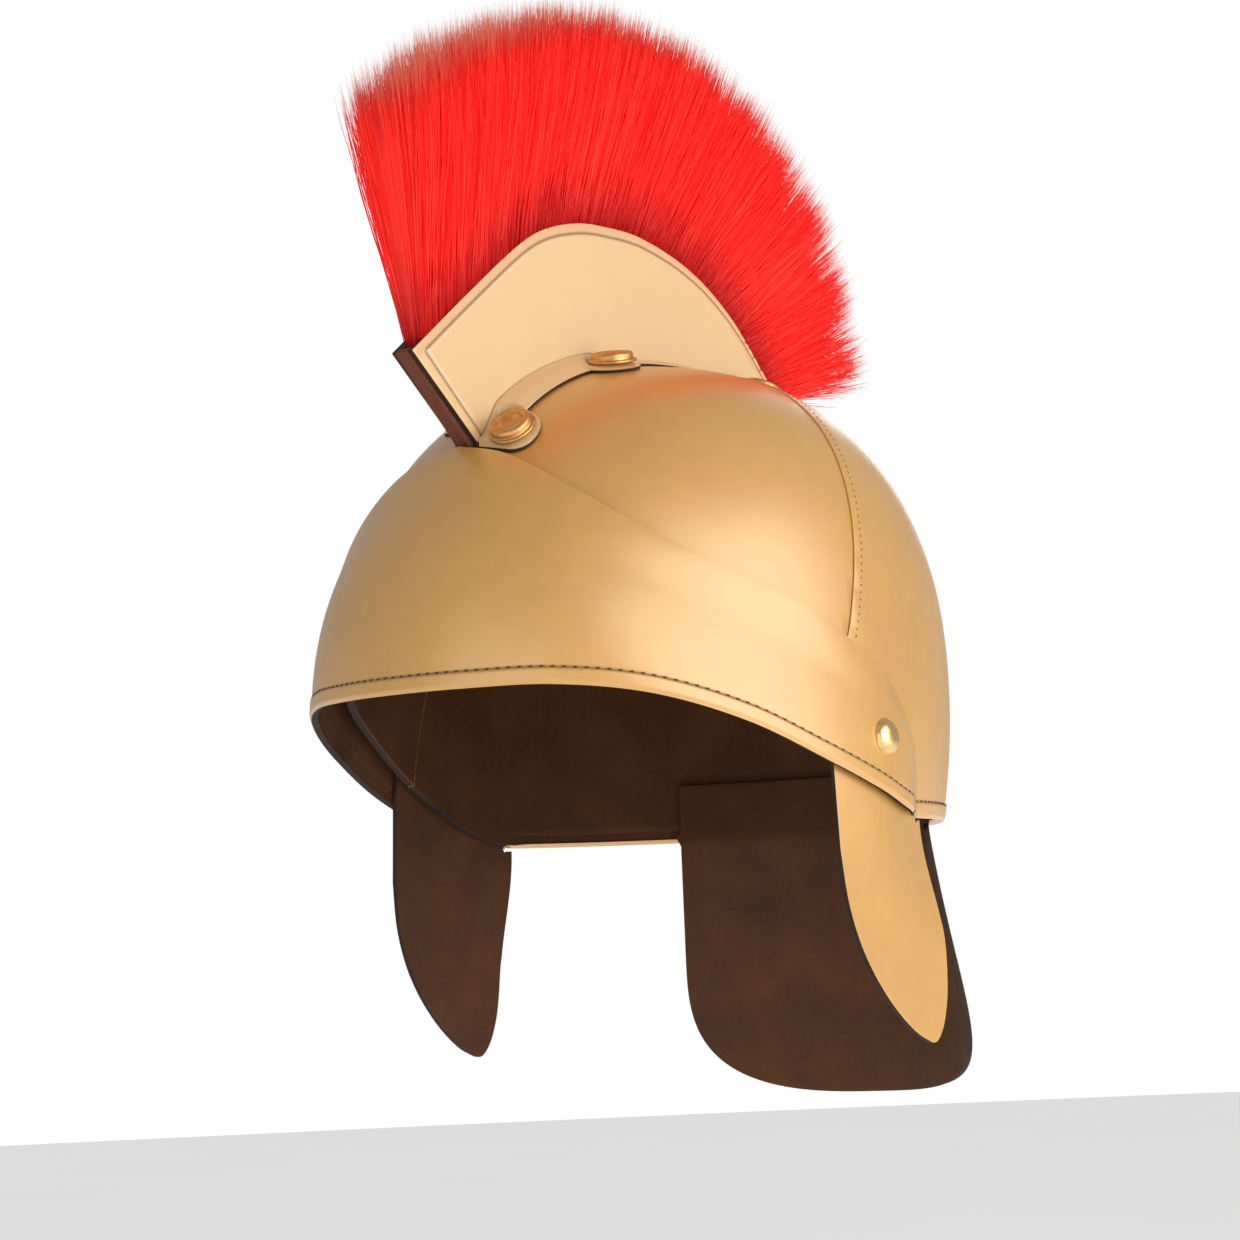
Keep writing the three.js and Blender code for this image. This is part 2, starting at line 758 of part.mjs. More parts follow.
// Outer face of a cheek guard: along the visor's inner face, then hanging, flaring and growing
// flatter below it
function cheekPoint(turn, height, inset) {
  const low = visorLow(turn);
  const held = Math.max(height, low);
  const point = visorInner(turn, held);
  const below = (held - height) / cheekDrop;
  const outward = new THREE.Vector3(
    Math.sin(turn) / domeHalfWidth,
    -Math.cos(turn) / domeFrontDepth,
    0,
  ).normalize();
  const quarter = Math.sign(turn) * Math.PI / 2;
  const level = visorInner(quarter, visorLow(quarter)).x;
  point.x = mix(point.x, level, ease(below, cheekFlatFromShare, cheekFlatToShare));
  point.addScaledVector(outward, cheekFlare * below - 1.5 * clearance - inset);
  point.z = height;
  return point;
}

function cheekGuard(side) {
  const turnAt = (across) => side * radians(mix(cheekFrontTurn, cheekRearTurn, across));
  const tucked = [0, 0.5];
  const hanging = steps(0, 1, 5);
  const height = (row, turn, top, low) => {
    const under = Math.min(Math.max(visorLow(turn), low * cheekDrop), top * rimDrop);
    return row < tucked.length
      ? mix(top * rimDrop, under, tucked[row])
      : mix(under, low * cheekDrop, hanging[row - tucked.length]);
  };
  const grid = (inset) =>
    [...tucked, ...hanging].map((_, row) =>
      cheekOutline.map(({ across, top, low }) => {
        const turn = turnAt(across);
        return cheekPoint(turn, height(row, turn, top, low), inset);
      }),
    );
  return sheet(grid(0), grid(cheekWall));
}

// Outer face of the neck guard: up inside the dome's wall, then hanging and flaring below the rim
function neckPoint(turn, height, inset) {
  const below = Math.max(-rimDrop - height, 0) / (neckDrop - rimDrop);
  const outward = neckFlare * below ** 1.2;
  const point = domePoint(turn, Math.max(height, -rimDrop), outward - domeWall - clearance - inset);
  point.z = height;
  return point;
}

function neckGuard() {
  const half = 180 - neckSideTurn;
  const across = steps(-Math.PI / 2, Math.PI / 2, 18).map((angle) => Math.sin(angle));
  const top = neckLap - rimDrop;
  const lowAt = (share) => {
    const round = Math.max(1 - Math.abs(share) ** cornerFullness, 0) ** (1 / cornerFullness);
    return mix(mix(top, -neckDrop, neckSideShare), -neckDrop, round);
  };
  const rows = [
    ...[0, 1 / 2].map((t) => () => top - t * neckLap),
    ...steps(0, 1, 6).map((t) => (share) => mix(-rimDrop, lowAt(share), t)),
  ];
  const turnAt = (share) => Math.PI + radians(half * share);
  const grid = (inset) =>
    rows.map((height) => across.map((share) => neckPoint(turnAt(share), height(share), inset)));
  return sheet(grid(0), grid(neckWall));
}

// Finishes
const finish = (color, roughness, metalness) =>
  new THREE.MeshStandardMaterial({ color, roughness, metalness });
const goldLeather = finish(0xc4934f, 0.38, 0.55);
const paleGoldLeather = finish(0xf0cd90, 0.42, 0.35);
const brownLeather = finish(0x6e3c26, 0.6, 0);
const redHair = finish(0xf0261c, 0.7, 0);
const goldMetal = finish(0xdca750, 0.25, 1);

const helmet = new THREE.Group();

function add(name, geometry, material) {
  const mesh = new THREE.Mesh(geometry, material);
  mesh.name = name;
  helmet.add(mesh);
  return mesh;
}

const dome = solid(domeShell());
add('crown_front_panel', geometryOf(dome.intersect(seamSide(-1))), goldLeather);
add('crown_back_panel', geometryOf(dome.intersect(seamSide(1))), goldLeather);
add('visor_band', visorBand(), goldLeather);
add('crest_plate_left', crestPlate(1), paleGoldLeather);
add('crest_plate_right', crestPlate(-1), paleGoldLeather);
add('crest_core', crestPacking(), brownLeather);
add('plume', plume(), redHair);

const axis = new THREE.Vector3(0, 1, 0);
sides.forEach(({ label, side }) => {
  rosettePlaces(side).forEach(({ name, length }) => {
    const y = footAt(length);
    const foot = new THREE.Vector3(side * rosetteX, y, domeOver(rosetteX, y));
    const normal = domeNormal(foot);
    const rivet = add(`rosette_${name}_${label}`, welded(rosette()), goldMetal);
    rivet.quaternion.setFromUnitVectors(axis, normal);
    rivet.position.copy(foot).addScaledVector(normal, crestSheet + 2 * clearance);
  });
  const turn = side * radians(studTurn);
  const normal = visorNormal(turn, -studDrop);
  const stud = add(`side_stud_${label}`, welded(domedStud()), goldMetal);
  stud.quaternion.setFromUnitVectors(axis, normal);
  stud.position.copy(visorOuter(turn, -studDrop)).addScaledVector(normal, clearance);
  add(`cheek_guard_${label}`, cheekGuard(side), goldLeather);
});
add('neck_guard', neckGuard(), goldLeather);

// The origin is the top of the hollow inside the crown, where the head carries the helmet
helmet.position.z = domeWall - domeHeight;

export default helmet;
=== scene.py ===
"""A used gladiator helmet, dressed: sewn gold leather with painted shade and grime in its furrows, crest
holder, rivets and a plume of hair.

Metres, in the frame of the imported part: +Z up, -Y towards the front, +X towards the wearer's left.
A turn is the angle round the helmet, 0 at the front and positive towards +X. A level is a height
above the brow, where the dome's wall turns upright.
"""

import logging
import math
from collections.abc import Callable, Iterable, Mapping, Sequence
from dataclasses import dataclass, field
from enum import Enum
from functools import cached_property
from typing import Any

import bmesh
import bpy
import numpy as np
from mathutils import Matrix, Vector


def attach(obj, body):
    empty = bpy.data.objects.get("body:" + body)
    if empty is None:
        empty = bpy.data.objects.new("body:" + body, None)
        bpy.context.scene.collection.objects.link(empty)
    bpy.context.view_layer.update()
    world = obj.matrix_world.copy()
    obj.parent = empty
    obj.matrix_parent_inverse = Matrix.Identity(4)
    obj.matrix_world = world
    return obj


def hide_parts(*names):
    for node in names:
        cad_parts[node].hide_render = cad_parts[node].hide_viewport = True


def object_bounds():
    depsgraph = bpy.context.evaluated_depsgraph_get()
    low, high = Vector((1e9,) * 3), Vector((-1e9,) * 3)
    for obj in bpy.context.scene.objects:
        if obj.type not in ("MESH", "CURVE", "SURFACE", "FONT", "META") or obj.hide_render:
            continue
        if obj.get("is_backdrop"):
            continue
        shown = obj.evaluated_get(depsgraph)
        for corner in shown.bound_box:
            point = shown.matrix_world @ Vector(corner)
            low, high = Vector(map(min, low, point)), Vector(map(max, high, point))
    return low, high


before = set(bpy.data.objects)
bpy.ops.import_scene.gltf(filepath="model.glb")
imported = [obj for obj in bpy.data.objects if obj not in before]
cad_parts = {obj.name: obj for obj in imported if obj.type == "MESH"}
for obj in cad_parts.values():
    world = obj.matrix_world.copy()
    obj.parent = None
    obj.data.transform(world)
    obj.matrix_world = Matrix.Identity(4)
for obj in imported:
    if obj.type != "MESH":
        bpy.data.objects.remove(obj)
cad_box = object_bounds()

log = logging.getLogger("helmet")
MM = 0.001
COINCIDENT = 0.00003 * MM
SHARP = math.radians(50)
BODY = "root"
Rows = Sequence[Sequence[float]]
Pair = tuple[float, float]
Triple = tuple[float, float, float]
BMesh = bmesh.types.BMesh
Material = bpy.types.Material


class Face(Enum):
    """Material index of a region of a leather sheet."""

    GRAIN = 0
    FLESH = 1
    CUT = 2


class Side(Enum):
    """Which side of the wearer a piece is on."""

    LEFT = 1
    RIGHT = -1

    @property
    def label(self) -> str:
        """The side's name in the names of nodes."""
        return self.name.lower()


def mix(a: float, b: float, t: float) -> float:
    """Value between a and b at share t."""
    return a + (b - a) * t


def ease(value: float, low: float, high: float) -> float:
    """Smooth step from 0 at low to 1 at high."""
    t = min(max((value - low) / (high - low), 0.0), 1.0)
    return t * t * (3 - 2 * t)


def steps(low: float, high: float, count: int) -> list[float]:
    """Values at even steps from low to high."""
    return [mix(low, high, k / count) for k in range(count + 1)]


def off_front(turn: float) -> float:
    """Degrees that a turn lies to either side of the front."""
    return abs(math.degrees(turn))


def follow(rows: Rows, place: float, column: int = 1) -> float:
    """Smooth value of one column of a table.

    Args:
        rows: the table, whose first column rises.
        place: where to read along the first column.
        column: the column to read.

    Returns:
        The value of a cubic curve through the column's values.
    """
    last = len(rows) - 1
    held = min(max(place, rows[0][0]), rows[last][0])
    row = 0
    while row < last - 1 and rows[row + 1][0] < held:
        row += 1

    def slope(k: int) -> float:
        """Slope of the column at row k."""
        a, b = rows[max(k - 1, 0)], rows[min(k + 1, last)]
        return (b[column] - a[column]) / (b[0] - a[0])

    span = rows[row + 1][0] - rows[row][0]
    t = (held - rows[row][0]) / span
    start, end = slope(row) * span, slope(row + 1) * span
    ends = rows[row][column] * (1 + 2 * t) * (1 - t) ** 2 + rows[row + 1][column] * t * t * (3 - 2 * t)
    return ends + start * t * (1 - t) ** 2 + end * t * t * (t - 1)


def furrow(distance: float, width: float) -> float:
    """Share of a furrow's depth at a distance from its middle."""
    return math.exp(-((distance / width) ** 2))


@dataclass(frozen=True)
class Hem:
    """Turned and stitched hem along the lower edge of a sheet."""

    height: float = 5 * MM
    proud: float = 0.5 * MM
    stitch_width: float = 0.4 * MM
    stitch_depth: float = 0.35 * MM
    round_drop: float = 0.6 * MM
    round_height: float = 1.3 * MM
    # Width of the painted shade and grime along the stitches' furrow.
    grime_and_shade_width: float = 0.45 * MM
    step: Pair = (-0.3 * MM, 0.5 * MM)
    zone: float = 8 * MM
    rows: int = 18

    def split(self, v: float, plain_rows: int) -> Pair:
        """Shares of the hem's zone and of the sheet above it, at a share of all the rows."""
        edge = self.rows / (self.rows + plain_rows)
        return min(v / edge, 1), max((v - edge) / (1 - edge), 0)

    def relief(self, above: float) -> float:
        """How far the hem stands proud of its sheet at a distance above the edge."""
        raised = self.proud * (1 - ease(above - self.height, *self.step))
        sewn = self.stitch_depth * furrow(above - self.height, self.stitch_width)
        rounded = self.round_drop * (1 - ease(above, -0.1 * MM, self.round_height))
        return raised - sewn - rounded

    def worn(self, above: float) -> float:
        """How dark the painted shade and grime in the stitches' furrow is at a distance above the edge."""
        return furrow(above - self.height, self.grime_and_shade_width)


@dataclass(frozen=True)
class DomeForm:
    """Outer face of the dome, from its crown to its rim."""

    half_width: float = 90 * MM
    front: float = 104.4 * MM
    rear: float = 98 * MM
    height: float = 106 * MM
    fullness: float = 2.32
    wall: float = 2.5 * MM
    rim_drop: float = 41 * MM
    draw_in: float = 4 * MM
    brow: float = -103.5 * MM
    seam_ahead: float = 17.5 * MM
    seam_lean: float = math.radians(18.5)

    def share(self, level: float) -> float:
        """Share of the dome's width that is left at a level."""
        if level < 0:
            return 1 - self.draw_in / self.half_width * min(-level / self.rim_drop, 1) ** 2
        return max(1 - (level / self.height) ** self.fullness, 0) ** (1 / self.fullness)

    def normal(self, point: Vector) -> Vector:
        """Outward direction at a point whose z is a level."""
        depth = self.front if point.y < 0 else self.rear
        share = max(math.hypot(point.x / self.half_width, point.y / depth), 1e-6)
        side = share ** (self.fullness - 2)
        up = max(point.z, 0) ** (self.fullness - 1) / self.height ** self.fullness
        across = side * point.x / self.half_width ** 2
        return Vector((across, side * point.y / depth ** 2, up)).normalized()

    def point(self, turn: float, level: float, offset: float = 0) -> Vector:
        """Point at a turn and a level, moved out by an offset, with z as a level."""
        share = self.share(level)
        depth = self.front if math.cos(turn) > 0 else self.rear
        x, y = self.half_width * share * math.sin(turn), -depth * share * math.cos(turn)
        place = Vector((x, y, level))
        normal = self.normal(place) if share > 0 else Vector((0, 0, 1))
        return place + normal * offset

    def over(self, x: float, y: float, offset: float = 0) -> float:
        """Level of the dome above a place of its plan."""
        depth = self.front if y < 0 else self.rear
        share = min(math.hypot(x / self.half_width, y / depth), 0.999)
        level = self.height * (1 - share ** self.fullness) ** (1 / self.fullness)
        return level + offset / self.normal(Vector((x, y, level))).z

    def behind_seam(self, point: Vector) -> float:
        """Distance that a point lies behind the seam's plane."""
        c, s = math.cos(self.seam_lean), math.sin(self.seam_lean)
        return (point.y + self.seam_ahead) * c - point.z * s

    def seat(self, point: Vector) -> Vector:
        """A point whose z is a level, in the part's frame."""
        return Vector((point.x, point.y, point.z + self.brow))


@dataclass(frozen=True)
class VisorForm:
    """Band over the brow that lies on the dome at its top edge and stands off towards its hem."""

    dome: DomeForm
    rise: float = 73.4 * MM
    side_stand: float = 6.2 * MM
    front_stand: float = 9.9 * MM
    end_turn: float = 102
    end_stand: float = 0.36
    taper_turn: float = 84
    arch_turns: Pair = (25, 65)
    side_arch: float = 1.3
    clear: float = 0.3 * MM
    edges: Rows = (
        (0, 1.0, 0.0), (15, 0.94, 0.0), (30, 0.785, -0.01), (45, 0.594, -0.1), (60, 0.418, -0.31),
        (75, 0.252, -0.61), (90, 0.03, -0.88), (97, -0.09, -0.96), (102, -0.23, -1.0),
    )

    def top(self, turn: float) -> float:
        """Level of the top edge."""
        return self.rise * follow(self.edges, off_front(turn), 1)

    def low(self, turn: float) -> float:
        """Level of the hem's lower edge."""
        return self.dome.rim_drop * follow(self.edges, off_front(turn), 2)

    def inner(self, turn: float, level: float) -> Vector:
        """Point of the band's inner face."""
        top, low = self.top(turn), self.low(turn)
        down = min(max((top - level) / (top - low), 0), 1)
        degrees = off_front(turn)
        taper = mix(1, self.end_stand, ease(degrees, self.taper_turn, self.end_turn))
        stand = mix(down * (2 - down), down ** self.side_arch, ease(degrees, *self.arch_turns)) * taper
        place = self.dome.point(turn, level, self.clear)
        place.x += stand * self.side_stand * math.sin(turn)
        place.y -= stand * self.front_stand * math.cos(turn)
        return place

    def normal(self, turn: float, level: float) -> Vector:
        """Outward direction of the band."""
        across = self.inner(turn + 0.01, level) - self.inner(turn - 0.01, level)
        up = self.inner(turn, level + 0.2 * MM) - self.inner(turn, level - 0.2 * MM)
        return across.cross(up).normalized()

    def outer(self, turn: float, level: float, offset: float) -> Vector:
        """Point of the band's outer face, offset from its inner one."""
        return self.inner(turn, level) + self.normal(turn, level) * offset


@dataclass(frozen=True)
class CrestForm:
    """Side view of the crest holder, and how the plume fans out of it."""

    dome: DomeForm
    front: float = 108 * MM
    rear: float = 72.03 * MM
    top: float = 150.3 * MM
    toe_level: float = 74.4 * MM
    inside: float = 2.5 * MM
    sheet: float = 2 * MM
    foot_width: float = 8 * MM
    rosette_aside: float = 10 * MM
    tab_radius: float = 8.6 * MM
    reach: float = 86 * MM
    half_width: float = 19 * MM
    first_lock: float = 0.02
    last_lock: float = 0.95
    edge: Rows = (
        (0.0, 0.686), (0.147, 0.823), (0.277, 0.937), (0.341, 0.975), (0.42, 0.997), (0.486, 1.0),
        (0.591, 0.988), (0.724, 0.932), (0.83, 0.844), (0.92, 0.724), (0.966, 0.645), (1.0, 0.565),
    )
    fan: Rows = (
        (0.0, -8, 1.0), (0.147, -4, 0.965), (0.277, 0, 0.875), (0.42, 7, 0.845), (0.591, 20, 0.835),
        (0.724, 33, 0.78), (0.83, 48, 0.7), (0.92, 64, 0.53), (1.0, 70, 0.39),
    )
    fold_rise: float = 3.3 * MM
    rosettes: tuple[tuple[str, float, float], ...] = (
        ("front", 0.045, 0.135), ("middle", 0.36, 0.36), ("rear", 0.78, 0.78),
    )

    @property
    def outside(self) -> float:
        """Distance of a plate's outer face from the middle."""
        return self.inside + self.sheet

    @property
    def rosette_x(self) -> float:
        """Distance of the rivets from the middle."""
        return self.outside + self.rosette_aside

    def edge_point(self, back: float) -> Vector:
        """Place of the plates' top edge, y and level, at a share of the crest's length."""
        return Vector((mix(-self.front, self.rear, back), self.top * follow(self.edge, back)))

    def edge_line(self, back: float) -> Vector:
        """Direction of the top edge, towards the rear."""
        step = 0.01
        return (self.edge_point(min(back + step, 1)) - self.edge_point(max(back - step, 0))).normalized()

    def tip(self, back: float, reach: float = 1.0) -> Vector:
        """Place that the hair rooted at a share of the length reaches, y and level."""
        lean = math.radians(follow(self.fan, back, 1))
        length = self.reach * follow(self.fan, back, 2) * reach
        return self.edge_point(back) + Vector((math.sin(lean), math.cos(lean))) * length

    @cached_property
    def foot_path(self) -> list[Pair]:
        """Places along the foot, as the length from the toe and y."""
        toe = -self.dome.front * self.dome.share(self.toe_level)
        path = [(0.0, toe)]
        level = self.dome.over(self.rosette_x, toe)
        for y in steps(toe, self.rear, 160)[1:]:
            now = self.dome.over(self.rosette_x, y)
            path.append((path[-1][0] + math.hypot(y - path[-1][1], now - level), y))
            level = now
        return path

    def rosette_lengths(self, side: Side) -> dict[str, float]:
        """Length from the toe at which each rivet of one foot stands."""
        whole = self.foot_path[-1][0]
        shortest = self.tab_radius + 0.3 * MM
        column = 1 if side is Side.LEFT else 2
        return {row[0]: max(row[column] * whole, shortest) for row in self.rosettes}

    def foot_y(self, length: float) -> float:
        """Place y of the foot at a length from the toe."""
        path = self.foot_path
        for (a, y_a), (b, y_b) in zip(path, path[1:]):
            if b >= length:
                return mix(y_a, y_b, (length - a) / (b - a))
        return path[-1][1]


class Wire:
    """One socket of a shader tree, with arithmetic that adds Math nodes."""

    def __init__(self, tree: bpy.types.NodeTree, socket: bpy.types.NodeSocket) -> None:
        """Holds a socket and the tree that it is in."""
        self.tree = tree
        self.socket = socket

    def _math(self, operation: str, first: Any, second: Any) -> "Wire":
        """Adds a Math node on two values."""
        node = self.tree.nodes.new("ShaderNodeMath")
        node.operation = operation
        for socket, value in zip(node.inputs, (first, second)):
            if isinstance(value, Wire):
                self.tree.links.new(value.socket, socket)
            else:
                socket.default_value = value
        return Wire(self.tree, node.outputs[0])

    def __add__(self, other: Any) -> "Wire":
        """Sum."""
        return self._math("ADD", self, other)

    def __radd__(self, other: Any) -> "Wire":
        """Sum with a number on the left."""
        return self._math("ADD", other, self)

    def __sub__(self, other: Any) -> "Wire":
        """Difference."""
        return self._math("SUBTRACT", self, other)

    def __rsub__(self, other: Any) -> "Wire":
        """Difference with a number on the left."""
        return self._math("SUBTRACT", other, self)

    def __mul__(self, other: Any) -> "Wire":
        """Product."""
        return self._math("MULTIPLY", self, other)

    def __rmul__(self, other: Any) -> "Wire":
        """Product with a number on the left."""
        return self._math("MULTIPLY", other, self)


class Shader:
    """Node tree of one material."""

    def __init__(self, name: str) -> None:
        """Starts an empty material."""
        self.material = bpy.data.materials.new(name)
        self.material.use_nodes = True
        self.tree = self.material.node_tree
        self.tree.nodes.clear()
        self.place = self.node("ShaderNodeTexCoord")["Object"]

    def node(
        self, kind: str, settings: Mapping[str, Any] | None = None, values: Mapping[Any, Any] | None = None
    ) -> "Outlets":
        """Adds a node.

        Args:
            kind: the node's type.
            settings: its properties, and "stops" for the colours of a ramp.
            values: the value or the Wire of each socket, by name or number.

        Returns:
            The node's outlets.
        """
        made = self.tree.nodes.new(kind)
        for name, value in (settings or {}).items():
            if name == "stops":
                ramp = made.color_ramp.elements
                while len(ramp) < len(value):
                    ramp.new(1.0)
                for element, (position, colour) in zip(ramp, value):
                    element.position = position
                    element.color = (*colour, 1.0)
            else:
                setattr(made, name, value)
        for name, value in (values or {}).items():
            if isinstance(value, Wire):
                self.tree.links.new(value.socket, made.inputs[name])
            else:
                made.inputs[name].default_value = value
        return Outlets(self.tree, made)

    def noise(self, scale: float, detail: float = 3.0, roughness: float = 0.5, stretch: Any = None) -> Wire:
        """Noise on the object's own place, in lumps per metre."""
        place = self.place
        if stretch is not None:
            place = self.node("ShaderNodeMapping", values={"Vector": place, "Scale": stretch})["Vector"]
        values = {"Vector": place, "Scale": scale, "Detail": detail, "Roughness": roughness}
        return self.node("ShaderNodeTexNoise", values=values)["Fac"]

    def ramp(self, fac: Wire, *stops: tuple[float, Sequence[float]]) -> Wire:
        """Colour of a factor between stops."""
        return self.node("ShaderNodeValToRGB", {"stops": stops}, {"Fac": fac})["Color"]

    def blend(self, fac: Wire, first: Any, second: Any, mode: str = "MIX") -> Wire:
        """Mix of two colours."""
        settings = {"data_type": "RGBA", "blend_type": mode}
        first, second = (v if isinstance(v, Wire) else (*v, 1.0) for v in (first, second))
        return self.node("ShaderNodeMix", settings, {0: fac, 6: first, 7: second})[2]

    def attribute(self, name: str) -> Wire:
        """Value of one of the piece's own attributes."""
        return self.node("ShaderNodeAttribute", {"attribute_name": name})["Fac"]

    def bump(self, height: Wire, strength: float, distance: float) -> Wire:
        """Normal of a height in metres times distance."""
        values = {"Height": height, "Strength": strength, "Distance": distance}
        return self.node("ShaderNodeBump", values=values)["Normal"]

    def finish(self, **values: Any) -> Material:
        """Ends in a Principled surface.

        Args:
            values: sockets by name, with _ for a space.

        Returns:
            The material.
        """
        named = {name.replace("_", " "): value for name, value in values.items()}
        surface = self.node("ShaderNodeBsdfPrincipled", values=named)["BSDF"]
        self.node("ShaderNodeOutputMaterial", values={"Surface": surface})
        return self.material


class Outlets:
    """Outlets of a node, by name or number."""

    def __init__(self, tree: bpy.types.NodeTree, made: bpy.types.Node) -> None:
        """Holds a node."""
        self.tree = tree
        self.made = made

    def __getitem__(self, name: Any) -> Wire:
        """The named outlet as a Wire."""
        return Wire(self.tree, self.made.outputs[name])


@dataclass(frozen=True)
class CoatedLeather:
    """Smooth leather under a satin metallic coat, darkened and dulled by painted shade and grime in its
    furrows.
    """

    name: str
    light: Triple
    deep: Triple
    metallic: float = 0.2
    roughness: float = 0.48
    # Colour of the painted shade and grime in the leather's furrows.
    furrow_shade_and_grime_colour: Triple = (0.13, 0.06, 0.02)

    def material(self) -> Material:
        """The finish as a material."""
        shader = Shader(self.name)
        cloud = shader.noise(14, 4, 0.55)
        mottle = shader.noise(160, 3, 0.6)
        colour = shader.ramp(cloud * 0.75 + mottle * 0.25, (0.32, self.deep), (0.62, self.light))
        # Painted shade and grime from the groove layer darkens the colour and thins the coat's sheen.
        furrow_shade_and_grime = shader.attribute("groove")
        colour = shader.blend(furrow_shade_and_grime * 0.75, colour, self.furrow_shade_and_grime_colour)
        grid = {"Vector": shader.place, "Scale": 1500}
        pores = shader.node("ShaderNodeTexVoronoi", values=grid)["Distance"]
        fine = shader.noise(2600, 2, 0.6)
        creases = shader.noise(420, 5, 0.7)
        height = pores * 0.3 + fine * 0.35 + creases * 0.5
        return shader.finish(
            Base_Color=colour,
            Metallic=self.metallic,
            Roughness=(mottle * 0.1 + cloud * 0.06) + (self.roughness - 0.08),
            Normal=shader.bump(height, 0.16, 0.12 * MM),
            Coat_Weight=1 - furrow_shade_and_grime * 0.8,
            Coat_Roughness=0.34,
            Coat_IOR=1.75,
        )


@dataclass(frozen=True)
class FleshSide:
    """Brushed inner side of leather, or its cut edge."""

    name: str
    light: Triple
    deep: Triple
    nap: float = 0.4

    def material(self) -> Material:
        """The finish as a material."""
        shader = Shader(self.name)
        fibres = shader.noise(900, 5, 0.75)
        patches = shader.noise(45, 3, 0.6)
        colour = shader.ramp(fibres * 0.45 + patches * 0.55, (0.3, self.deep), (0.7, self.light))
        return shader.finish(
            Base_Color=colour,
            Roughness=fibres * 0.15 + 0.72,
            Specular_IOR_Level=0.25,
            Normal=shader.bump(fibres, self.nap, 0.25 * MM),
        )


@dataclass(frozen=True)
class DyedHair:
    """Hair, deep at its root, bright along its length and pale at its tip, with a faint painted glow in its
    own colour.
    """

    name: str = "dyed_hair"
    root: Triple = (0.4, 0.004, 0.004)
    shaded: Triple = (0.74, 0.008, 0.008)
    length: Triple = (0.92, 0.012, 0.009)
    warm: Triple = (1.0, 0.06, 0.035)
    tip: Triple = (0.9, 0.26, 0.16)

    def material(self) -> Material:
        """The finish as a material."""
        shader = Shader(self.name)
        along = shader.attribute("along")
        lot = shader.attribute("lot")
        dyed = shader.ramp(lot, (0.0, self.shaded), (0.4, self.length), (1.0, self.warm))
        stops = ((0.0, (0.0, 0.0, 0.0)), (0.3, (1.0, 1.0, 1.0)))
        rooted = shader.blend(shader.ramp(along, *stops), self.root, dyed)
        paling = shader.ramp(along + lot * 0.12, (0.9, (0.0, 0.0, 0.0)), (1.1, (1.0, 1.0, 1.0)))
        colour = shader.blend(paling * 0.8, rooted, self.tip)
        return shader.finish(
            Base_Color=colour,
            Roughness=lot * 0.15 + 0.5,
            Specular_IOR_Level=0.3,
            # The hair glows faintly in its own colour: painted light.
            Emission_Color=colour,
            Emission_Strength=0.2,
        )


@dataclass(frozen=True)
class PolishedMetal:
    """Gold-coloured metal with faint turning marks."""

    name: str
    light: Triple
    deep: Triple
    roughness: float

    def material(self) -> Material:
        """The finish as a material."""
        shader = Shader(self.name)
        wear = shader.noise(380, 5, 0.65)
        scratches = shader.noise(2400, 3, 0.6, (1.0, 0.25, 1.0))
        colour = shader.ramp(wear, (0.35, self.deep), (0.62, self.light))
        return shader.finish(
            Base_Color=colour,
            Metallic=1.0,
            Roughness=wear * 0.12 + scratches * 0.06 + (self.roughness - 0.06),
            Normal=shader.bump(scratches, 0.08, 0.05 * MM),
        )


@dataclass(frozen=True)
class WaxedThread:
    """Dark twisted sewing thread."""

    name: str = "waxed_thread"
    light: Triple = (0.085, 0.042, 0.014)
    deep: Triple = (0.035, 0.016, 0.006)

    def material(self) -> Material:
        """The finish as a material."""
        shader = Shader(self.name)
        twist = shader.noise(3000, 2, 0.6)
        return shader.finish(
            Base_Color=shader.ramp(twist, (0.35, self.deep), (0.65, self.light)),
            Roughness=twist * 0.2 + 0.5,
            Normal=shader.bump(twist, 0.4, 0.1 * MM),
        )


@dataclass(frozen=True)
class PlainFloor:
    """Pale studio paper."""

    name: str = "studio_paper"
    light: Triple = (0.93, 0.93, 0.93)
    deep: Triple = (0.9, 0.9, 0.9)

    def material(self) -> Material:
        """The finish as a material."""
        shader = Shader(self.name)
        cloud = shader.noise(3, 2)
        return shader.finish(
            Base_Color=shader.ramp(cloud, (0.3, self.deep), (0.7, self.light)),
            Roughness=0.9,
            Emission_Color=(1.0, 1.0, 1.0, 1.0),
            Emission_Strength=0.35,
        )


Finish = CoatedLeather | FleshSide | DyedHair | PolishedMetal | WaxedThread


def made_of(finish: Finish) -> Any:
    """Field that starts as the material of a finish."""
    return field(default_factory=finish.material)


@dataclass
class Finishes:
    """The materials of the helmet's pieces."""

    gold: Material = made_of(CoatedLeather("gold_leather", (0.6, 0.31, 0.06), (0.52, 0.255, 0.045)))
    pale: Material = made_of(
        CoatedLeather("pale_gold_leather", (0.66, 0.43, 0.19), (0.63, 0.405, 0.173), 0.1, 0.52)
    )
    border: Material = made_of(CoatedLeather("gold_border", (0.67, 0.38, 0.17), (0.62, 0.345, 0.145)))
    flesh: Material = made_of(FleshSide("flesh_side", (0.105, 0.038, 0.011), (0.045, 0.016, 0.005)))
    cut: Material = made_of(FleshSide("cut_edge", (0.045, 0.024, 0.014), (0.018, 0.01, 0.008)))
    brown: Material = made_of(FleshSide("brown_leather", (0.165, 0.05, 0.022), (0.1, 0.03, 0.014), 0.2))
    hair: Material = made_of(DyedHair())
    metal: Material = made_of(PolishedMetal("polished_gold", (0.93, 0.65, 0.3), (0.8, 0.5, 0.2), 0.26))
    brass: Material = made_of(PolishedMetal("satin_brass", (0.72, 0.42, 0.16), (0.55, 0.29, 0.09), 0.45))
    thread: Material = made_of(WaxedThread())

    def sheet(self) -> list[Material]:
        """Materials of a gold leather sheet, in the order of Face."""
        return [self.gold, self.flesh, self.cut]


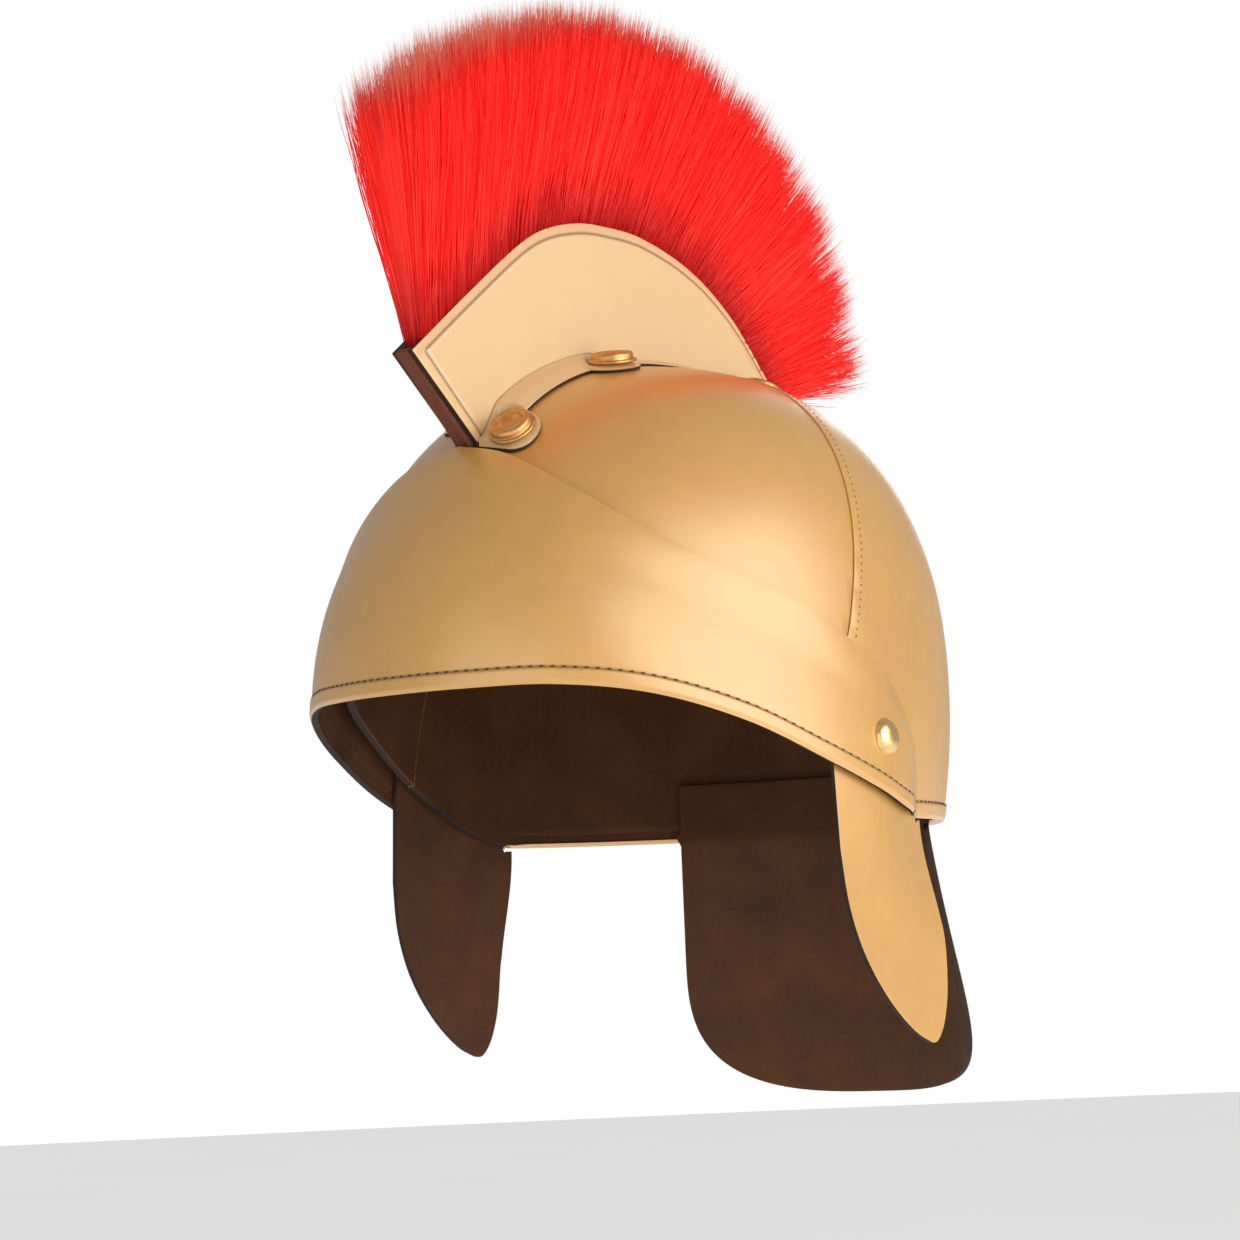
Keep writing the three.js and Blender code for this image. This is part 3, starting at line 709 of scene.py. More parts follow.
def skin(
    columns: int,
    rows: int,
    place: Callable[[float, float], Vector],
    worn: Callable[[float, float], float] | None = None,
) -> BMesh:
    """Sheet of faces laid on a surface.

    Args:
        columns: number of faces across.
        rows: number of faces down.
        place: point of the surface at shares of the sheet's width and height.
        worn: how far painted shade and grime darken the leather there, as in a furrow, from 0 to 1.

    Returns:
        The sheet, with each corner's shares in the vertex layers "u" and "v".
    """
    bm = bmesh.new()
    u_layer = bm.verts.layers.float.new("u")
    v_layer = bm.verts.layers.float.new("v")
    # Layer of painted shade and grime that darkens the coated leather.
    groove = bm.verts.layers.float.new("groove")
    bmesh.ops.create_grid(bm, x_segments=columns, y_segments=rows, size=0.5)
    for vert in bm.verts:
        u, v = vert.co.x + 0.5, vert.co.y + 0.5
        vert[u_layer], vert[v_layer] = u, v
        vert[groove] = worn(u, v) if worn else 0.0
        vert.co = place(u, v)
    bmesh.ops.remove_doubles(bm, verts=bm.verts, dist=0.02 * MM)
    return bm


def face_out(bm: BMesh, height: float) -> None:
    """Turns a sheet's faces away from a height on the helmet's upright axis."""
    centre = Vector((0, 0, height))
    bm.normal_update()
    way = sum(f.normal.dot(f.calc_center_median() - centre) * f.calc_area() for f in bm.faces)
    if way < 0:
        bmesh.ops.reverse_faces(bm, faces=bm.faces)
    bm.normal_update()


def picked(items: Iterable[Any], kind: type) -> list[Any]:
    """The items that are of one kind."""
    return [item for item in items if isinstance(item, kind)]


def sharp_edges(bm: BMesh) -> list[bmesh.types.BMEdge]:
    """Edges where a solid's faces meet at a rim."""
    return [e for e in bm.edges if e.is_manifold and e.calc_face_angle() > SHARP]


def thicken(
    bm: BMesh,
    wall: float | Callable[[float, float], float | Vector],
    rounding: float,
    rim: Face = Face.CUT,
    top_rim: Face = Face.CUT,
) -> None:
    """Gives a sheet its wall, inwards from its faces, with rounded rims.

    Args:
        bm: the sheet.
        wall: its thickness, or a function of the shares of its width and height that gives its
            thickness there or the place of its inner side.
        rounding: radius of its rims, or 0 for sharp ones.
        rim: finish of its rims.
        top_rim: finish of the rim at its top edge, where that one is sharp.
    """
    u_layer, v_layer = bm.verts.layers.float["u"], bm.verts.layers.float["v"]
    bm.normal_update()
    grain = set(bm.faces)
    made = bmesh.ops.extrude_face_region(bm, geom=list(bm.faces), use_keep_orig=True)["geom"]
    flesh = set(picked(made, bmesh.types.BMFace)) - grain
    bm.normal_update()
    normals = {}
    for vert in picked(made, bmesh.types.BMVert):
        around = [f.normal * f.calc_area() for f in vert.link_faces if f in flesh]
        normals[vert] = sum(around, Vector()).normalized()
    for vert, normal in normals.items():
        depth = wall(vert[u_layer], vert[v_layer]) if callable(wall) else wall
        vert.co = depth if isinstance(depth, Vector) else vert.co - normal * depth
    for f in bm.faces:
        if f in grain:
            f.material_index = Face.GRAIN.value
        elif f in flesh and all(v in normals for v in f.verts):
            f.material_index = Face.FLESH.value
        else:
            at_top = all(v[v_layer] > 0.999 for v in f.verts)
            f.material_index = (top_rim if at_top else rim).value
    bmesh.ops.recalc_face_normals(bm, faces=bm.faces)
    rims = sharp_edges(bm)
    if not rounding:
        for e in rims:
            e.smooth = False
        return
    rounded = bmesh.ops.bevel(
        bm, geom=rims, offset=rounding, segments=2, profile=0.5, affect="EDGES", material=-1,
        clamp_overlap=True,
    )
    for f in rounded["faces"]:
        f.material_index = rim.value
    bmesh.ops.remove_doubles(bm, verts=bm.verts, dist=COINCIDENT)


def lathe(profile: Iterable[Pair], facets: int = 48) -> BMesh:
    """Turned solid.

    Args:
        profile: radius and height from the foot's rim to the middle of the top.
        facets: number of faces round it.

    Returns:
        The closed solid about the z axis.
    """
    bm = bmesh.new()
    verts = [bm.verts.new((out, 0, up)) for out, up in [(0.0, 0.0), *profile]]
    edges = [bm.edges.new(pair) for pair in zip(verts, verts[1:])]
    bmesh.ops.spin(
        bm, geom=[*verts, *edges], cent=(0, 0, 0), axis=(0, 0, 1), angle=2 * math.pi, steps=facets,
        use_merge=True,
    )
    bmesh.ops.remove_doubles(bm, verts=bm.verts, dist=0.01 * MM)
    bmesh.ops.recalc_face_normals(bm, faces=bm.faces)
    return bm


def stand(bm: BMesh, foot: Vector, normal: Vector) -> None:
    """Turns a solid's z axis to a normal and sets it on a foot."""
    turn = normal.to_track_quat("Z", "Y").to_matrix().to_4x4()
    bmesh.ops.transform(bm, matrix=Matrix.Translation(foot) @ turn, verts=bm.verts)


def piece(name: str, bm: BMesh, materials: Iterable[Material], slot: str, *nodes: str) -> bpy.types.Object:
    """Makes a mesh a piece of the helmet.

    Args:
        name: the piece's name.
        bm: its mesh, which is freed.
        materials: its materials by index.
        slot: the record's slot for its finish; not used.
        nodes: the nodes that it stands for.

    Returns:
        The piece's object.
    """
    for f in bm.faces:
        f.smooth = True
    mesh = bpy.data.meshes.new(name)
    bm.to_mesh(mesh)
    bm.free()
    made = bpy.data.objects.new(name, mesh)
    bpy.context.scene.collection.objects.link(made)
    for material in materials:
        mesh.materials.append(material)
    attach(made, BODY)
    if nodes:
        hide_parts(*nodes)
    log.info("%s: %d faces", name, len(mesh.polygons))
    return made


@dataclass
class Dome:
    """The two moulded panels of the dome, which meet at a seam from ear to ear."""

    form: DomeForm
    visor: VisorForm
    finishes: Finishes
    columns: int = 168
    plain_rows: int = 46
    rim_tuck: float = 8 * MM
    tuck_turn: float = 60
    shown_turns: Pair = (-2, 4)
    lap: float = 0.4 * MM
    lap_fade: Pair = (4 * MM, 13 * MM)
    seam_gap: float = 0.1 * MM
    thread_lift: float = 0.05 * MM
    hem: Hem = Hem(
        proud=0.55 * MM, stitch_width=0.35 * MM, stitch_depth=0.25 * MM, round_drop=0.5 * MM,
        round_height=1.2 * MM, grime_and_shade_width=0.4 * MM,
    )

    def rim(self, turn: float) -> float:
        """Level of the rim, tucked up behind the visor band."""
        tucked = 1 - ease(off_front(turn), self.tuck_turn, self.visor.end_turn)
        return self.visor.low(turn) + self.rim_tuck * tucked

    def level(self, turn: float, v: float) -> float:
        """Level at a share of the height, from the rim at 0 to the crown at 1."""
        hem, plain = self.hem.split(v, self.plain_rows)
        base = self.rim(turn) + self.hem.zone * hem
        return base + (self.form.height - base) * math.sin(plain * math.pi / 2) ** (2 / self.form.fullness)

    def behind(self, turn: float) -> float:
        """How fully the hem shows, from 0 under the visor band to 1 behind it."""
        return ease(off_front(turn) - self.visor.end_turn, *self.shown_turns)

    def lift(self, turn: float, level: float, rear: bool) -> float:
        """How far the hem, the stitch furrow and the rear panel's lap stand off the dome."""
        lifted = self.behind(turn) * self.hem.relief(level - self.rim(turn))
        if rear:
            away = self.form.behind_seam(self.form.point(turn, level))
            clear = ease(level - self.visor.top(turn), -1 * MM, 4 * MM)
            lifted += clear * self.lap * (1 - ease(away, *self.lap_fade))
        return lifted

    def sewn(self, turn: float, level: float) -> tuple[Vector, Vector]:
        """Place for thread on the rear panel, in the part's frame, and its outward direction."""
        lift = self.lift(turn, level, True) + self.thread_lift
        bare = self.form.point(turn, level)
        return self.form.seat(self.form.point(turn, level, lift)), self.form.normal(bare)

    def panel(self, rear: bool) -> BMesh:
        """Outer face of one of the two panels."""

        def place(u: float, v: float) -> Vector:
            """Point of the dome's face at its shares."""
            turn = mix(-math.pi, math.pi, u)
            level = self.level(turn, v)
            return self.form.seat(self.form.point(turn, level, self.lift(turn, level, rear)))

        def worn(u: float, v: float) -> float:
            """Painted shade and grime in the hem's stitch furrow, at the dome's shares."""
            turn = mix(-math.pi, math.pi, u)
            return self.hem.worn(self.level(turn, v) - self.rim(turn)) * self.behind(turn)

        bm = skin(self.columns, self.plain_rows + self.hem.rows, place, worn)
        face_out(bm, self.form.brow)
        lean = self.form.seam_lean
        normal = Vector((0, math.cos(lean), -math.sin(lean)))
        gap = self.seam_gap if rear else -self.seam_gap
        bmesh.ops.bisect_plane(
            bm, geom=[*bm.verts, *bm.edges, *bm.faces], dist=0.01 * MM,
            plane_co=self.form.seat(Vector((0, -self.form.seam_ahead, 0))) + normal * gap, plane_no=normal,
            clear_inner=rear, clear_outer=not rear,
        )
        bmesh.ops.remove_doubles(bm, verts=bm.verts, dist=0.05 * MM)
        return bm

    def cut_tucked(self, bm: BMesh) -> None:
        """Leaves the rim raw where it is tucked up behind the visor band."""
        bm.normal_update()
        for f in bm.faces:
            centre = f.calc_center_median()
            turn = math.atan2(centre.x, -centre.y)
            if f.normal.z < -0.5 and off_front(turn) < self.visor.end_turn:
                f.material_index = Face.CUT.value

    def build(self) -> None:
        """Makes both panels."""
        for name, rear, rounding in (("front", False, 0.2 * MM), ("back", True, 0.25 * MM)):
            bm = self.panel(rear)
            thicken(bm, self.form.wall, rounding, Face.GRAIN)
            self.cut_tucked(bm)
            piece(f"crown_{name}", bm, self.finishes.sheet(), "gold_leather", f"crown_{name}_panel")


@dataclass
class Visor:
    """The band over the brow, with its turned and stitched hem."""

    form: VisorForm
    finishes: Finishes
    columns: int = 180
    plain_rows: int = 40
    wall: float = 2.2 * MM
    thin: float = 0.12 * MM
    sunk: float = 0.5 * MM
    lip: float = 1.6 * MM
    lip_height: float = 16 * MM
    lip_turns: Pair = (72, 92)
    skived_turns: Pair = (88, 97)
    skived: Pair = (-1 * MM, 13 * MM)
    end_skived: float = 11 * MM
    end_hem: float = 6 * MM
    hem: Hem = Hem()
    notch_turn: float = 98.5
    notch_width: float = 1.8 * MM
    notch_height: float = 3.6 * MM
    # Width of the painted shadow in each notch, and the heights over which it fades out.
    notch_worn: float = 0.8 * MM
    notch_shadow_fade: Pair = (3.4 * MM, 4.8 * MM)
    notch_cuts: tuple[float, ...] = (-0.6, -0.42, -0.2, 0, 0.2, 0.42, 0.6)

    def turns(self) -> list[float]:
        """Turns of the band's columns, with more of them at the notches."""
        end = self.form.end_turn
        plain = [turn for turn in steps(-end, end, self.columns) if abs(abs(turn) - self.notch_turn) > 0.8]
        cuts = [side.value * (self.notch_turn + cut) for side in Side for cut in self.notch_cuts]
        return [math.radians(turn) for turn in sorted([*plain, *cuts])]

    def from_notch(self, turn: float) -> float:
        """Distance along the hem from the middle of the notch on that side."""
        return math.radians(off_front(turn) - self.notch_turn) * self.form.dome.half_width

    def level(self, turn: float, v: float) -> float:
        """Level at a share of the height, from the hem at 0 to the top edge at 1."""
        snip = self.notch_height * max(0, 1 - abs(self.from_notch(turn)) / (self.notch_width / 2))
        low, top = self.form.low(turn) + snip, self.form.top(turn)
        zone = min(self.hem.zone, (top - low) * 0.5)
        hem, plain = self.hem.split(v, self.plain_rows)
        return low + zone * hem + (top - low - zone) * plain

    def offset(self, turn: float, level: float) -> float:
        """Distance of the outer face from the inner one, with the hem and the lip at the top edge."""
        below = self.form.top(turn) - level
        degrees = off_front(turn)
        to_end = math.radians(self.form.end_turn - degrees) * self.form.dome.half_width
        full = mix(1, ease(below, *self.skived), ease(degrees, *self.skived_turns))
        full *= ease(to_end, 0, self.end_skived)
        lip = self.lip * (1 - ease(below, 0, self.lip_height)) * (1 - ease(degrees, *self.lip_turns))
        hem = self.hem.relief(level - self.form.low(turn)) * ease(to_end, 0, self.end_hem)
        ground = -self.sunk * (1 - ease(full, 0, 0.5))
        return ground + mix(self.thin, self.wall, full) + lip + hem

    def face(self, turn: float, level: float, extra: float = 0) -> Vector:
        """Point of the outer face in the part's frame."""
        place = self.form.outer(turn, level, self.offset(turn, level) + extra)
        return self.form.dome.seat(place)

    def build(self) -> None:
        """Makes the band, with the snipped notch near each end of its hem."""
        turns = self.turns()
        last = len(turns) - 1

        def spot(u: float, v: float) -> Pair:
            """Turn and level at the band's shares."""
            turn = turns[round(u * last)]
            return turn, self.level(turn, v)

        def place(u: float, v: float) -> Vector:
            """Point of the band's face at its shares."""
            return self.face(*spot(u, v))

        def wall(u: float, v: float) -> float:
            """Thickness that leaves the inner face where it is."""
            return max(self.offset(*spot(u, v)), 0.1 * MM)

        def worn(u: float, v: float) -> float:
            """Painted shade and grime in the hem's furrow, and painted shadow in the notches."""
            turn, level = spot(u, v)
            # A painted shadow fills each notch, over the furrow's painted shade and grime.
            above = level - self.form.low(turn)
            fade = 1 - ease(above, *self.notch_shadow_fade)
            return max(self.hem.worn(above), 1.3 * furrow(self.from_notch(turn), self.notch_worn) * fade)

        bm = skin(last, self.plain_rows + self.hem.rows, place, worn)
        face_out(bm, self.form.dome.brow)
        thicken(bm, wall, 0, top_rim=Face.GRAIN)
        piece("visor", bm, self.finishes.sheet(), "gold_leather", "visor_band")


@dataclass
class CheekGuard:
    """One flap that hangs over a cheek."""

    side: Side
    visor: VisorForm
    finishes: Finishes
    front_turn: float = 76.5
    rear_turn: float = 103
    drop: float = 109.2 * MM
    flare: float = 5 * MM
    flattened: Pair = (0.02, 0.4)
    tucked: float = 0.45 * MM
    wall: float = 1.6 * MM
    rounding: float = 0.35 * MM
    hang: float = 70 * MM
    columns: int = 44
    rows: int = 72
    outline: Rows = (
        (0.0, -0.35, -0.47), (0.03, -0.28, -0.59), (0.1, -0.23, -0.7), (0.2, -0.2, -0.79),
        (0.33, -0.2, -0.87), (0.46, -0.24, -0.93), (0.58, -0.3, -0.97), (0.68, -0.38, -0.99),
        (0.78, -0.52, -1.0), (0.87, -0.7, -0.965), (0.93, -1.02, -0.91), (0.97, -1.02, -0.84),
        (1.0, -1.02, -0.7),
    )

    def point(self, turn: float, level: float) -> Vector:
        """Point of the outer face, along the visor's inner face and hanging below it."""
        dome = self.visor.dome
        held = max(level, self.visor.low(turn))
        place = self.visor.inner(turn, held)
        below = (held - level) / self.drop
        outward = Vector((math.sin(turn) / dome.half_width, -math.cos(turn) / dome.front, 0)).normalized()
        quarter = self.side.value * math.pi / 2
        flat = self.visor.inner(quarter, self.visor.low(quarter)).x
        place.x = mix(place.x, flat, ease(below, *self.flattened))
        place += outward * (self.flare * below - self.tucked)
        place.z = level
        return dome.seat(place)

    def build(self) -> None:
        """Makes the flap."""

        def place(u: float, v: float) -> Vector:
            """Point of the flap's face at its shares."""
            across = (1 - math.cos(u * math.pi)) / 2
            turn = self.side.value * math.radians(mix(self.front_turn, self.rear_turn, across))
            top = follow(self.outline, across, 1) * self.visor.dome.rim_drop
            low = follow(self.outline, across, 2) * self.drop
            return self.point(turn, mix(low, top, v))

        bm = skin(self.columns, self.rows, place)
        face_out(bm, self.visor.dome.brow - self.hang)
        thicken(bm, self.wall, self.rounding)
        name = self.side.label
        piece(f"cheek_flap_{name}", bm, self.finishes.sheet(), "gold_leather", f"cheek_guard_{name}")


@dataclass
class NeckGuard:
    """The flap that hangs behind and flares out at the nape."""

    dome: DomeForm
    finishes: Finishes
    side_turn: float = 141
    drop: float = 126 * MM
    lap: float = 19 * MM
    flare: float = 16 * MM
    curl: float = 1.2
    gap: float = 0.3 * MM
    wall: float = 2 * MM
    rounding: float = 0.35 * MM
    hang: float = 70 * MM
    side_share: float = 0.55
    fullness: float = 3
    columns: int = 80
    rows: int = 60

    def point(self, turn: float, level: float) -> Vector:
        """Point of the outer face, up inside the dome's wall and flaring below the rim."""
        rim = -self.dome.rim_drop
        below = max(rim - level, 0) / (self.drop + rim)
        outward = self.flare * below ** self.curl
        place = self.dome.point(turn, max(level, rim), outward - self.dome.wall - self.gap)
        place.z = level
        return self.dome.seat(place)

    def build(self) -> None:
        """Makes the flap."""
        half = 180 - self.side_turn
        top = self.lap - self.dome.rim_drop

        def place(u: float, v: float) -> Vector:
            """Point of the flap's face at its shares."""
            share = math.sin(mix(-math.pi / 2, math.pi / 2, u))
            full = max(1 - abs(share) ** self.fullness, 0) ** (1 / self.fullness)
            low = mix(mix(top, -self.drop, self.side_share), -self.drop, full)
            return self.point(math.pi + math.radians(half * share), mix(low, top, v))

        bm = skin(self.columns, self.rows, place)
        face_out(bm, self.dome.brow - self.hang)
        thicken(bm, self.wall, self.rounding)
        piece("neck_flap", bm, self.finishes.sheet(), "gold_leather", "neck_guard")


@dataclass
class CrestHolder:
    """The two plates with their turned feet, and the packing between them."""

    form: CrestForm
    finishes: Finishes
    spans: int = 130
    band: float = 3.2 * MM
    groove: float = 0.4 * MM
    groove_width: float = 0.45 * MM
    clear: float = 0.3 * MM
    overhang: float = 0.12 * MM
    thin_foot: float = 0.9 * MM
    dish_radius: float = 8.3 * MM
    foot_rows: int = 22
    packing_sunk: float = 5 * MM
    packing_columns: int = 120
    packing_rows: int = 24
    rim_radius: float = 0.25 * MM
    dish_slope: float = 2.2
    least_span: float = 0.12 * MM
    low_fold: float = 0.85
    # Darkness of the painted shade along the foot's fold and of the painted shadow round each rivet's dish,
    # and that shadow's width.
    fold_worn: float = 0.8
    ring_worn: float = 0.55 * MM
    inner_gap: float = 0.1 * MM
    fold_buried: float = 0.5 * MM
    least_foot: float = 0.5 * MM
    band_cuts: tuple[float, ...] = (
        0, 0.03, 0.08, 0.25, 0.5, 0.7, 0.8, 0.86, 0.91, 0.955, 1.0, 1.045, 1.09, 1.14, 1.2, 1.35,
    )
    face_cuts: tuple[float, ...] = (
        0.03, 0.08, 0.15, 0.24, 0.34, 0.44, 0.54, 0.64, 0.73, 0.81, 0.88, 0.93, 0.965, 0.99, 1.0,
    )

    def stations(self, side: Side, whole: float) -> list[float]:
        """Lengths of the sections along the foot, closer at the toe and round each rivet."""
        toe = [0.13 * MM, *steps(0, 6.8 * MM, 17)]
        tabs = [
            place + self.form.tab_radius * math.sin(angle) * 1.001
            for place in self.form.rosette_lengths(side).values()
            for angle in steps(-math.pi / 2, math.pi / 2, 24)
        ]
        kept = [0.0]
        for length in sorted([*toe, *tabs, *steps(0, whole, self.spans)]):
            if length - kept[-1] > self.least_span and length < whole - 0.3 * MM:
                kept.append(length)
        return [*kept, whole]

    def foot_edge(self, side: Side, length: float) -> float:
        """Distance of the foot's outer edge from the middle, with a round tab under each rivet."""
        form = self.form
        edge = form.outside + max(form.foot_width * ease(length, 4 * MM, 20 * MM), self.least_foot)
        for place in form.rosette_lengths(side).values():
            off = (length - place) / form.tab_radius
            if abs(off) < 1:
                edge = max(edge, form.rosette_x + form.tab_radius * math.sqrt(1 - off * off))
        return edge

    def rise(self, side: Side, length: float) -> float:
        """Height of the foot's fold over the dome, low at the toe and past the middle rivet."""
        past = length - self.form.rosette_lengths(side)["middle"]
        low = 1 - self.low_fold * ease(past, 0, 9 * MM)
        return self.form.fold_rise * ease(length, 3 * MM, 14 * MM) * low

    def foot_lift(self, side: Side, length: float, out: float, t: float) -> float:
        """Height of the foot's face over the dome, which dishes round each rivet.

        Args:
            side: the plate's side.
            length: place along the foot.
            out: distance from the middle.
            t: share of the way across the foot.

        Returns:
            The height.
        """
        form = self.form
        flat = self.clear + mix(form.sheet, self.thin_foot, ease(t, 0.55, 1))
        across = min((out - form.outside) / form.foot_width, 1)
        lift = flat + self.rise(side, length) * (1 - across) ** 1.15
        past = max(self.from_rivet(side, length, out) - self.dish_radius, 0)
        return min(lift, self.clear + form.sheet + past * self.dish_slope)

    def from_rivet(self, side: Side, length: float, out: float) -> float:
        """Distance of a place on the foot from the middle of the nearest rivet."""
        places = self.form.rosette_lengths(side).values()
        return min(math.hypot(out - self.form.rosette_x, length - place) for place in places)

    def shaved(self, inwards: float) -> float:
        """Drop of a face at a distance from its rim, which rounds the rim."""
        left = max(self.rim_radius - inwards, 0)
        return self.rim_radius - math.sqrt(self.rim_radius ** 2 - left ** 2)

    def ringed(self, side: Side, length: float, out: float) -> float:
        """Painted shadow along the dish's rim round a rivet, on the plate's side of it."""
        inwards = 1 - ease(out, self.form.rosette_x - 3 * MM, self.form.rosette_x)
        away = self.from_rivet(side, length, out)
        return self.fold_worn * inwards * furrow(away - self.dish_radius, self.ring_worn)

    def section(self, side: Side, length: float, whole: float) -> list[tuple[Vector, Vector, float]]:
        """One upright section from the plate's top edge to the edge of its foot.

        Args:
            side: the plate's side.
            length: where it stands along the foot.
            whole: the foot's whole length.

        Returns:
            Place of the outer face, place of the inner face and the darkening of each point by painted shade
            and grime.
        """
        form = self.form
        y = form.foot_y(length)
        top = form.edge_point(length / whole)
        x, inside = form.outside, form.inside + self.inner_gap
        fold = form.dome.over(x, y, self.foot_lift(side, length, x, 0))
        line = top - Vector((y, fold - self.fold_buried))
        tall = max(line.length, 1e-5)
        points = []
        last = self.band * self.band_cuts[-1]
        downs = [self.band * cut for cut in self.band_cuts]
        downs += [mix(last, tall, cut) for cut in self.face_cuts]
        for down in (min(down, tall) for down in downs):
            place = top - line * (down / tall)
            near_top = furrow(down - self.band, self.groove_width) if length > self.band else 0
            near_toe = furrow(length - self.band, self.groove_width) if down > self.band else 0
            sink = max(near_top, near_toe)
            outer = Vector((x - self.groove * sink - self.shaved(min(down, length)), place.x, place.y))
            # The embossed groove's depth also darkens it: painted shade and grime.
            points.append((outer, Vector((inside, place.x, place.y)), sink))
        edge = max(self.foot_edge(side, length), x + self.least_foot)
        for t in steps(0, 1, self.foot_rows):
            out = mix(x, edge, t)
            lift = self.foot_lift(side, length, out, t) - self.shaved(edge - out)
            outer = Vector((out + self.overhang, y, form.dome.over(out, y, lift)))
            inner_x = out if t else inside
            inner = Vector((inner_x, y, form.dome.over(inner_x, y, self.clear)))
            # Painted shadow round each rivet's dish across the foot, and painted shade along the fold at its
            # first point.
            points.append((outer, inner, self.ringed(side, length, out) if t else self.fold_worn))
        return points

    def plate(self, side: Side) -> None:
        """Makes one plate with its foot."""
        form = self.form
        whole = form.foot_path[-1][0]
        stations = self.stations(side, whole)
        rings = [self.section(side, length, whole) for length in stations]
        last, count = len(rings) - 1, len(rings[0]) - 1

        def seated(u: float, v: float, column: int) -> Vector:
            """Point of one face at its shares, on this side."""
            point = rings[round(u * last)][round((1 - v) * count)][column]
            return form.dome.seat(Vector((side.value * point.x, point.y, point.z)))

        def place(u: float, v: float) -> Vector:
            """Point of the plate's outer face at its shares."""
            return seated(u, v, 0)

        def wall(u: float, v: float) -> Vector:
            """Point of the plate's inner face at its shares."""
            return seated(u, v, 1)

        def worn(u: float, v: float) -> float:
            """Painted shade and grime at the plate's shares."""
            return rings[round(u * last)][round((1 - v) * count)][2]

        bm = skin(last, count, place, worn)
        bm.normal_update()
        if sum(f.normal.x * side.value + f.normal.z * 0.2 for f in bm.faces) < 0:
            bmesh.ops.reverse_faces(bm, faces=bm.faces)
        thicken(bm, wall, 0)
        for f in bm.faces:
            if f.material_index == Face.GRAIN.value and self.in_border(f.calc_center_median()):
                f.material_index = len(Face)
        materials = [self.finishes.pale, self.finishes.flesh, self.finishes.cut, self.finishes.border]
        name = side.label
        piece(f"crest_sheet_{name}", bm, materials, "pale_gold_leather", f"crest_plate_{name}")

    def in_border(self, centre: Vector) -> bool:
        """Whether a face lies in the band between a plate's edge and its embossed line."""
        form = self.form
        if abs(centre.x) > form.outside + 0.3 * MM:
            return False
        back = (centre.y + form.front) / (form.front + form.rear)
        if not 0 <= back <= 1:
            return False
        drop = form.edge_point(back).y - (centre.z - form.dome.brow)
        return drop * form.edge_line(back).x < self.band

    def packing(self) -> None:
        """Makes the brown packing whose front shows between the plates."""
        form = self.form
        half = form.inside - self.inner_gap
        whole = form.foot_path[-1][0]

        def place(u: float, v: float) -> Vector:
            """Point of the packing's middle plane at its shares."""
            y_foot = form.foot_y(whole * u)
            base = Vector((y_foot, form.dome.over(0, y_foot, self.clear)))
            line = form.edge_line(u)
            top = form.edge_point(u) + Vector((line.y, -line.x)) * self.packing_sunk * ease(u, 0.012, 0.02)
            ahead = Vector((-(top - base).y, (top - base).x)).normalized() * 0.5 * MM * (1 - ease(u, 0, 0.01))
            middle = base.lerp(top, v) + ahead
            return form.dome.seat(Vector((0, middle.x, middle.y)))

        bm = skin(self.packing_columns, self.packing_rows, place)
        made = bmesh.ops.extrude_face_region(bm, geom=list(bm.faces), use_keep_orig=True)["geom"]
        moved = set(picked(made, bmesh.types.BMVert))
        for vert in bm.verts:
            vert.co.x = half if vert in moved else -half
        bmesh.ops.recalc_face_normals(bm, faces=bm.faces)
        for edge in sharp_edges(bm):
            edge.smooth = False
        piece("crest_packing", bm, [self.finishes.brown], "brown_leather", "crest_core")

    def build(self) -> None:
        """Makes both plates and the packing."""
        for side in Side:
            self.plate(side)
        self.packing()


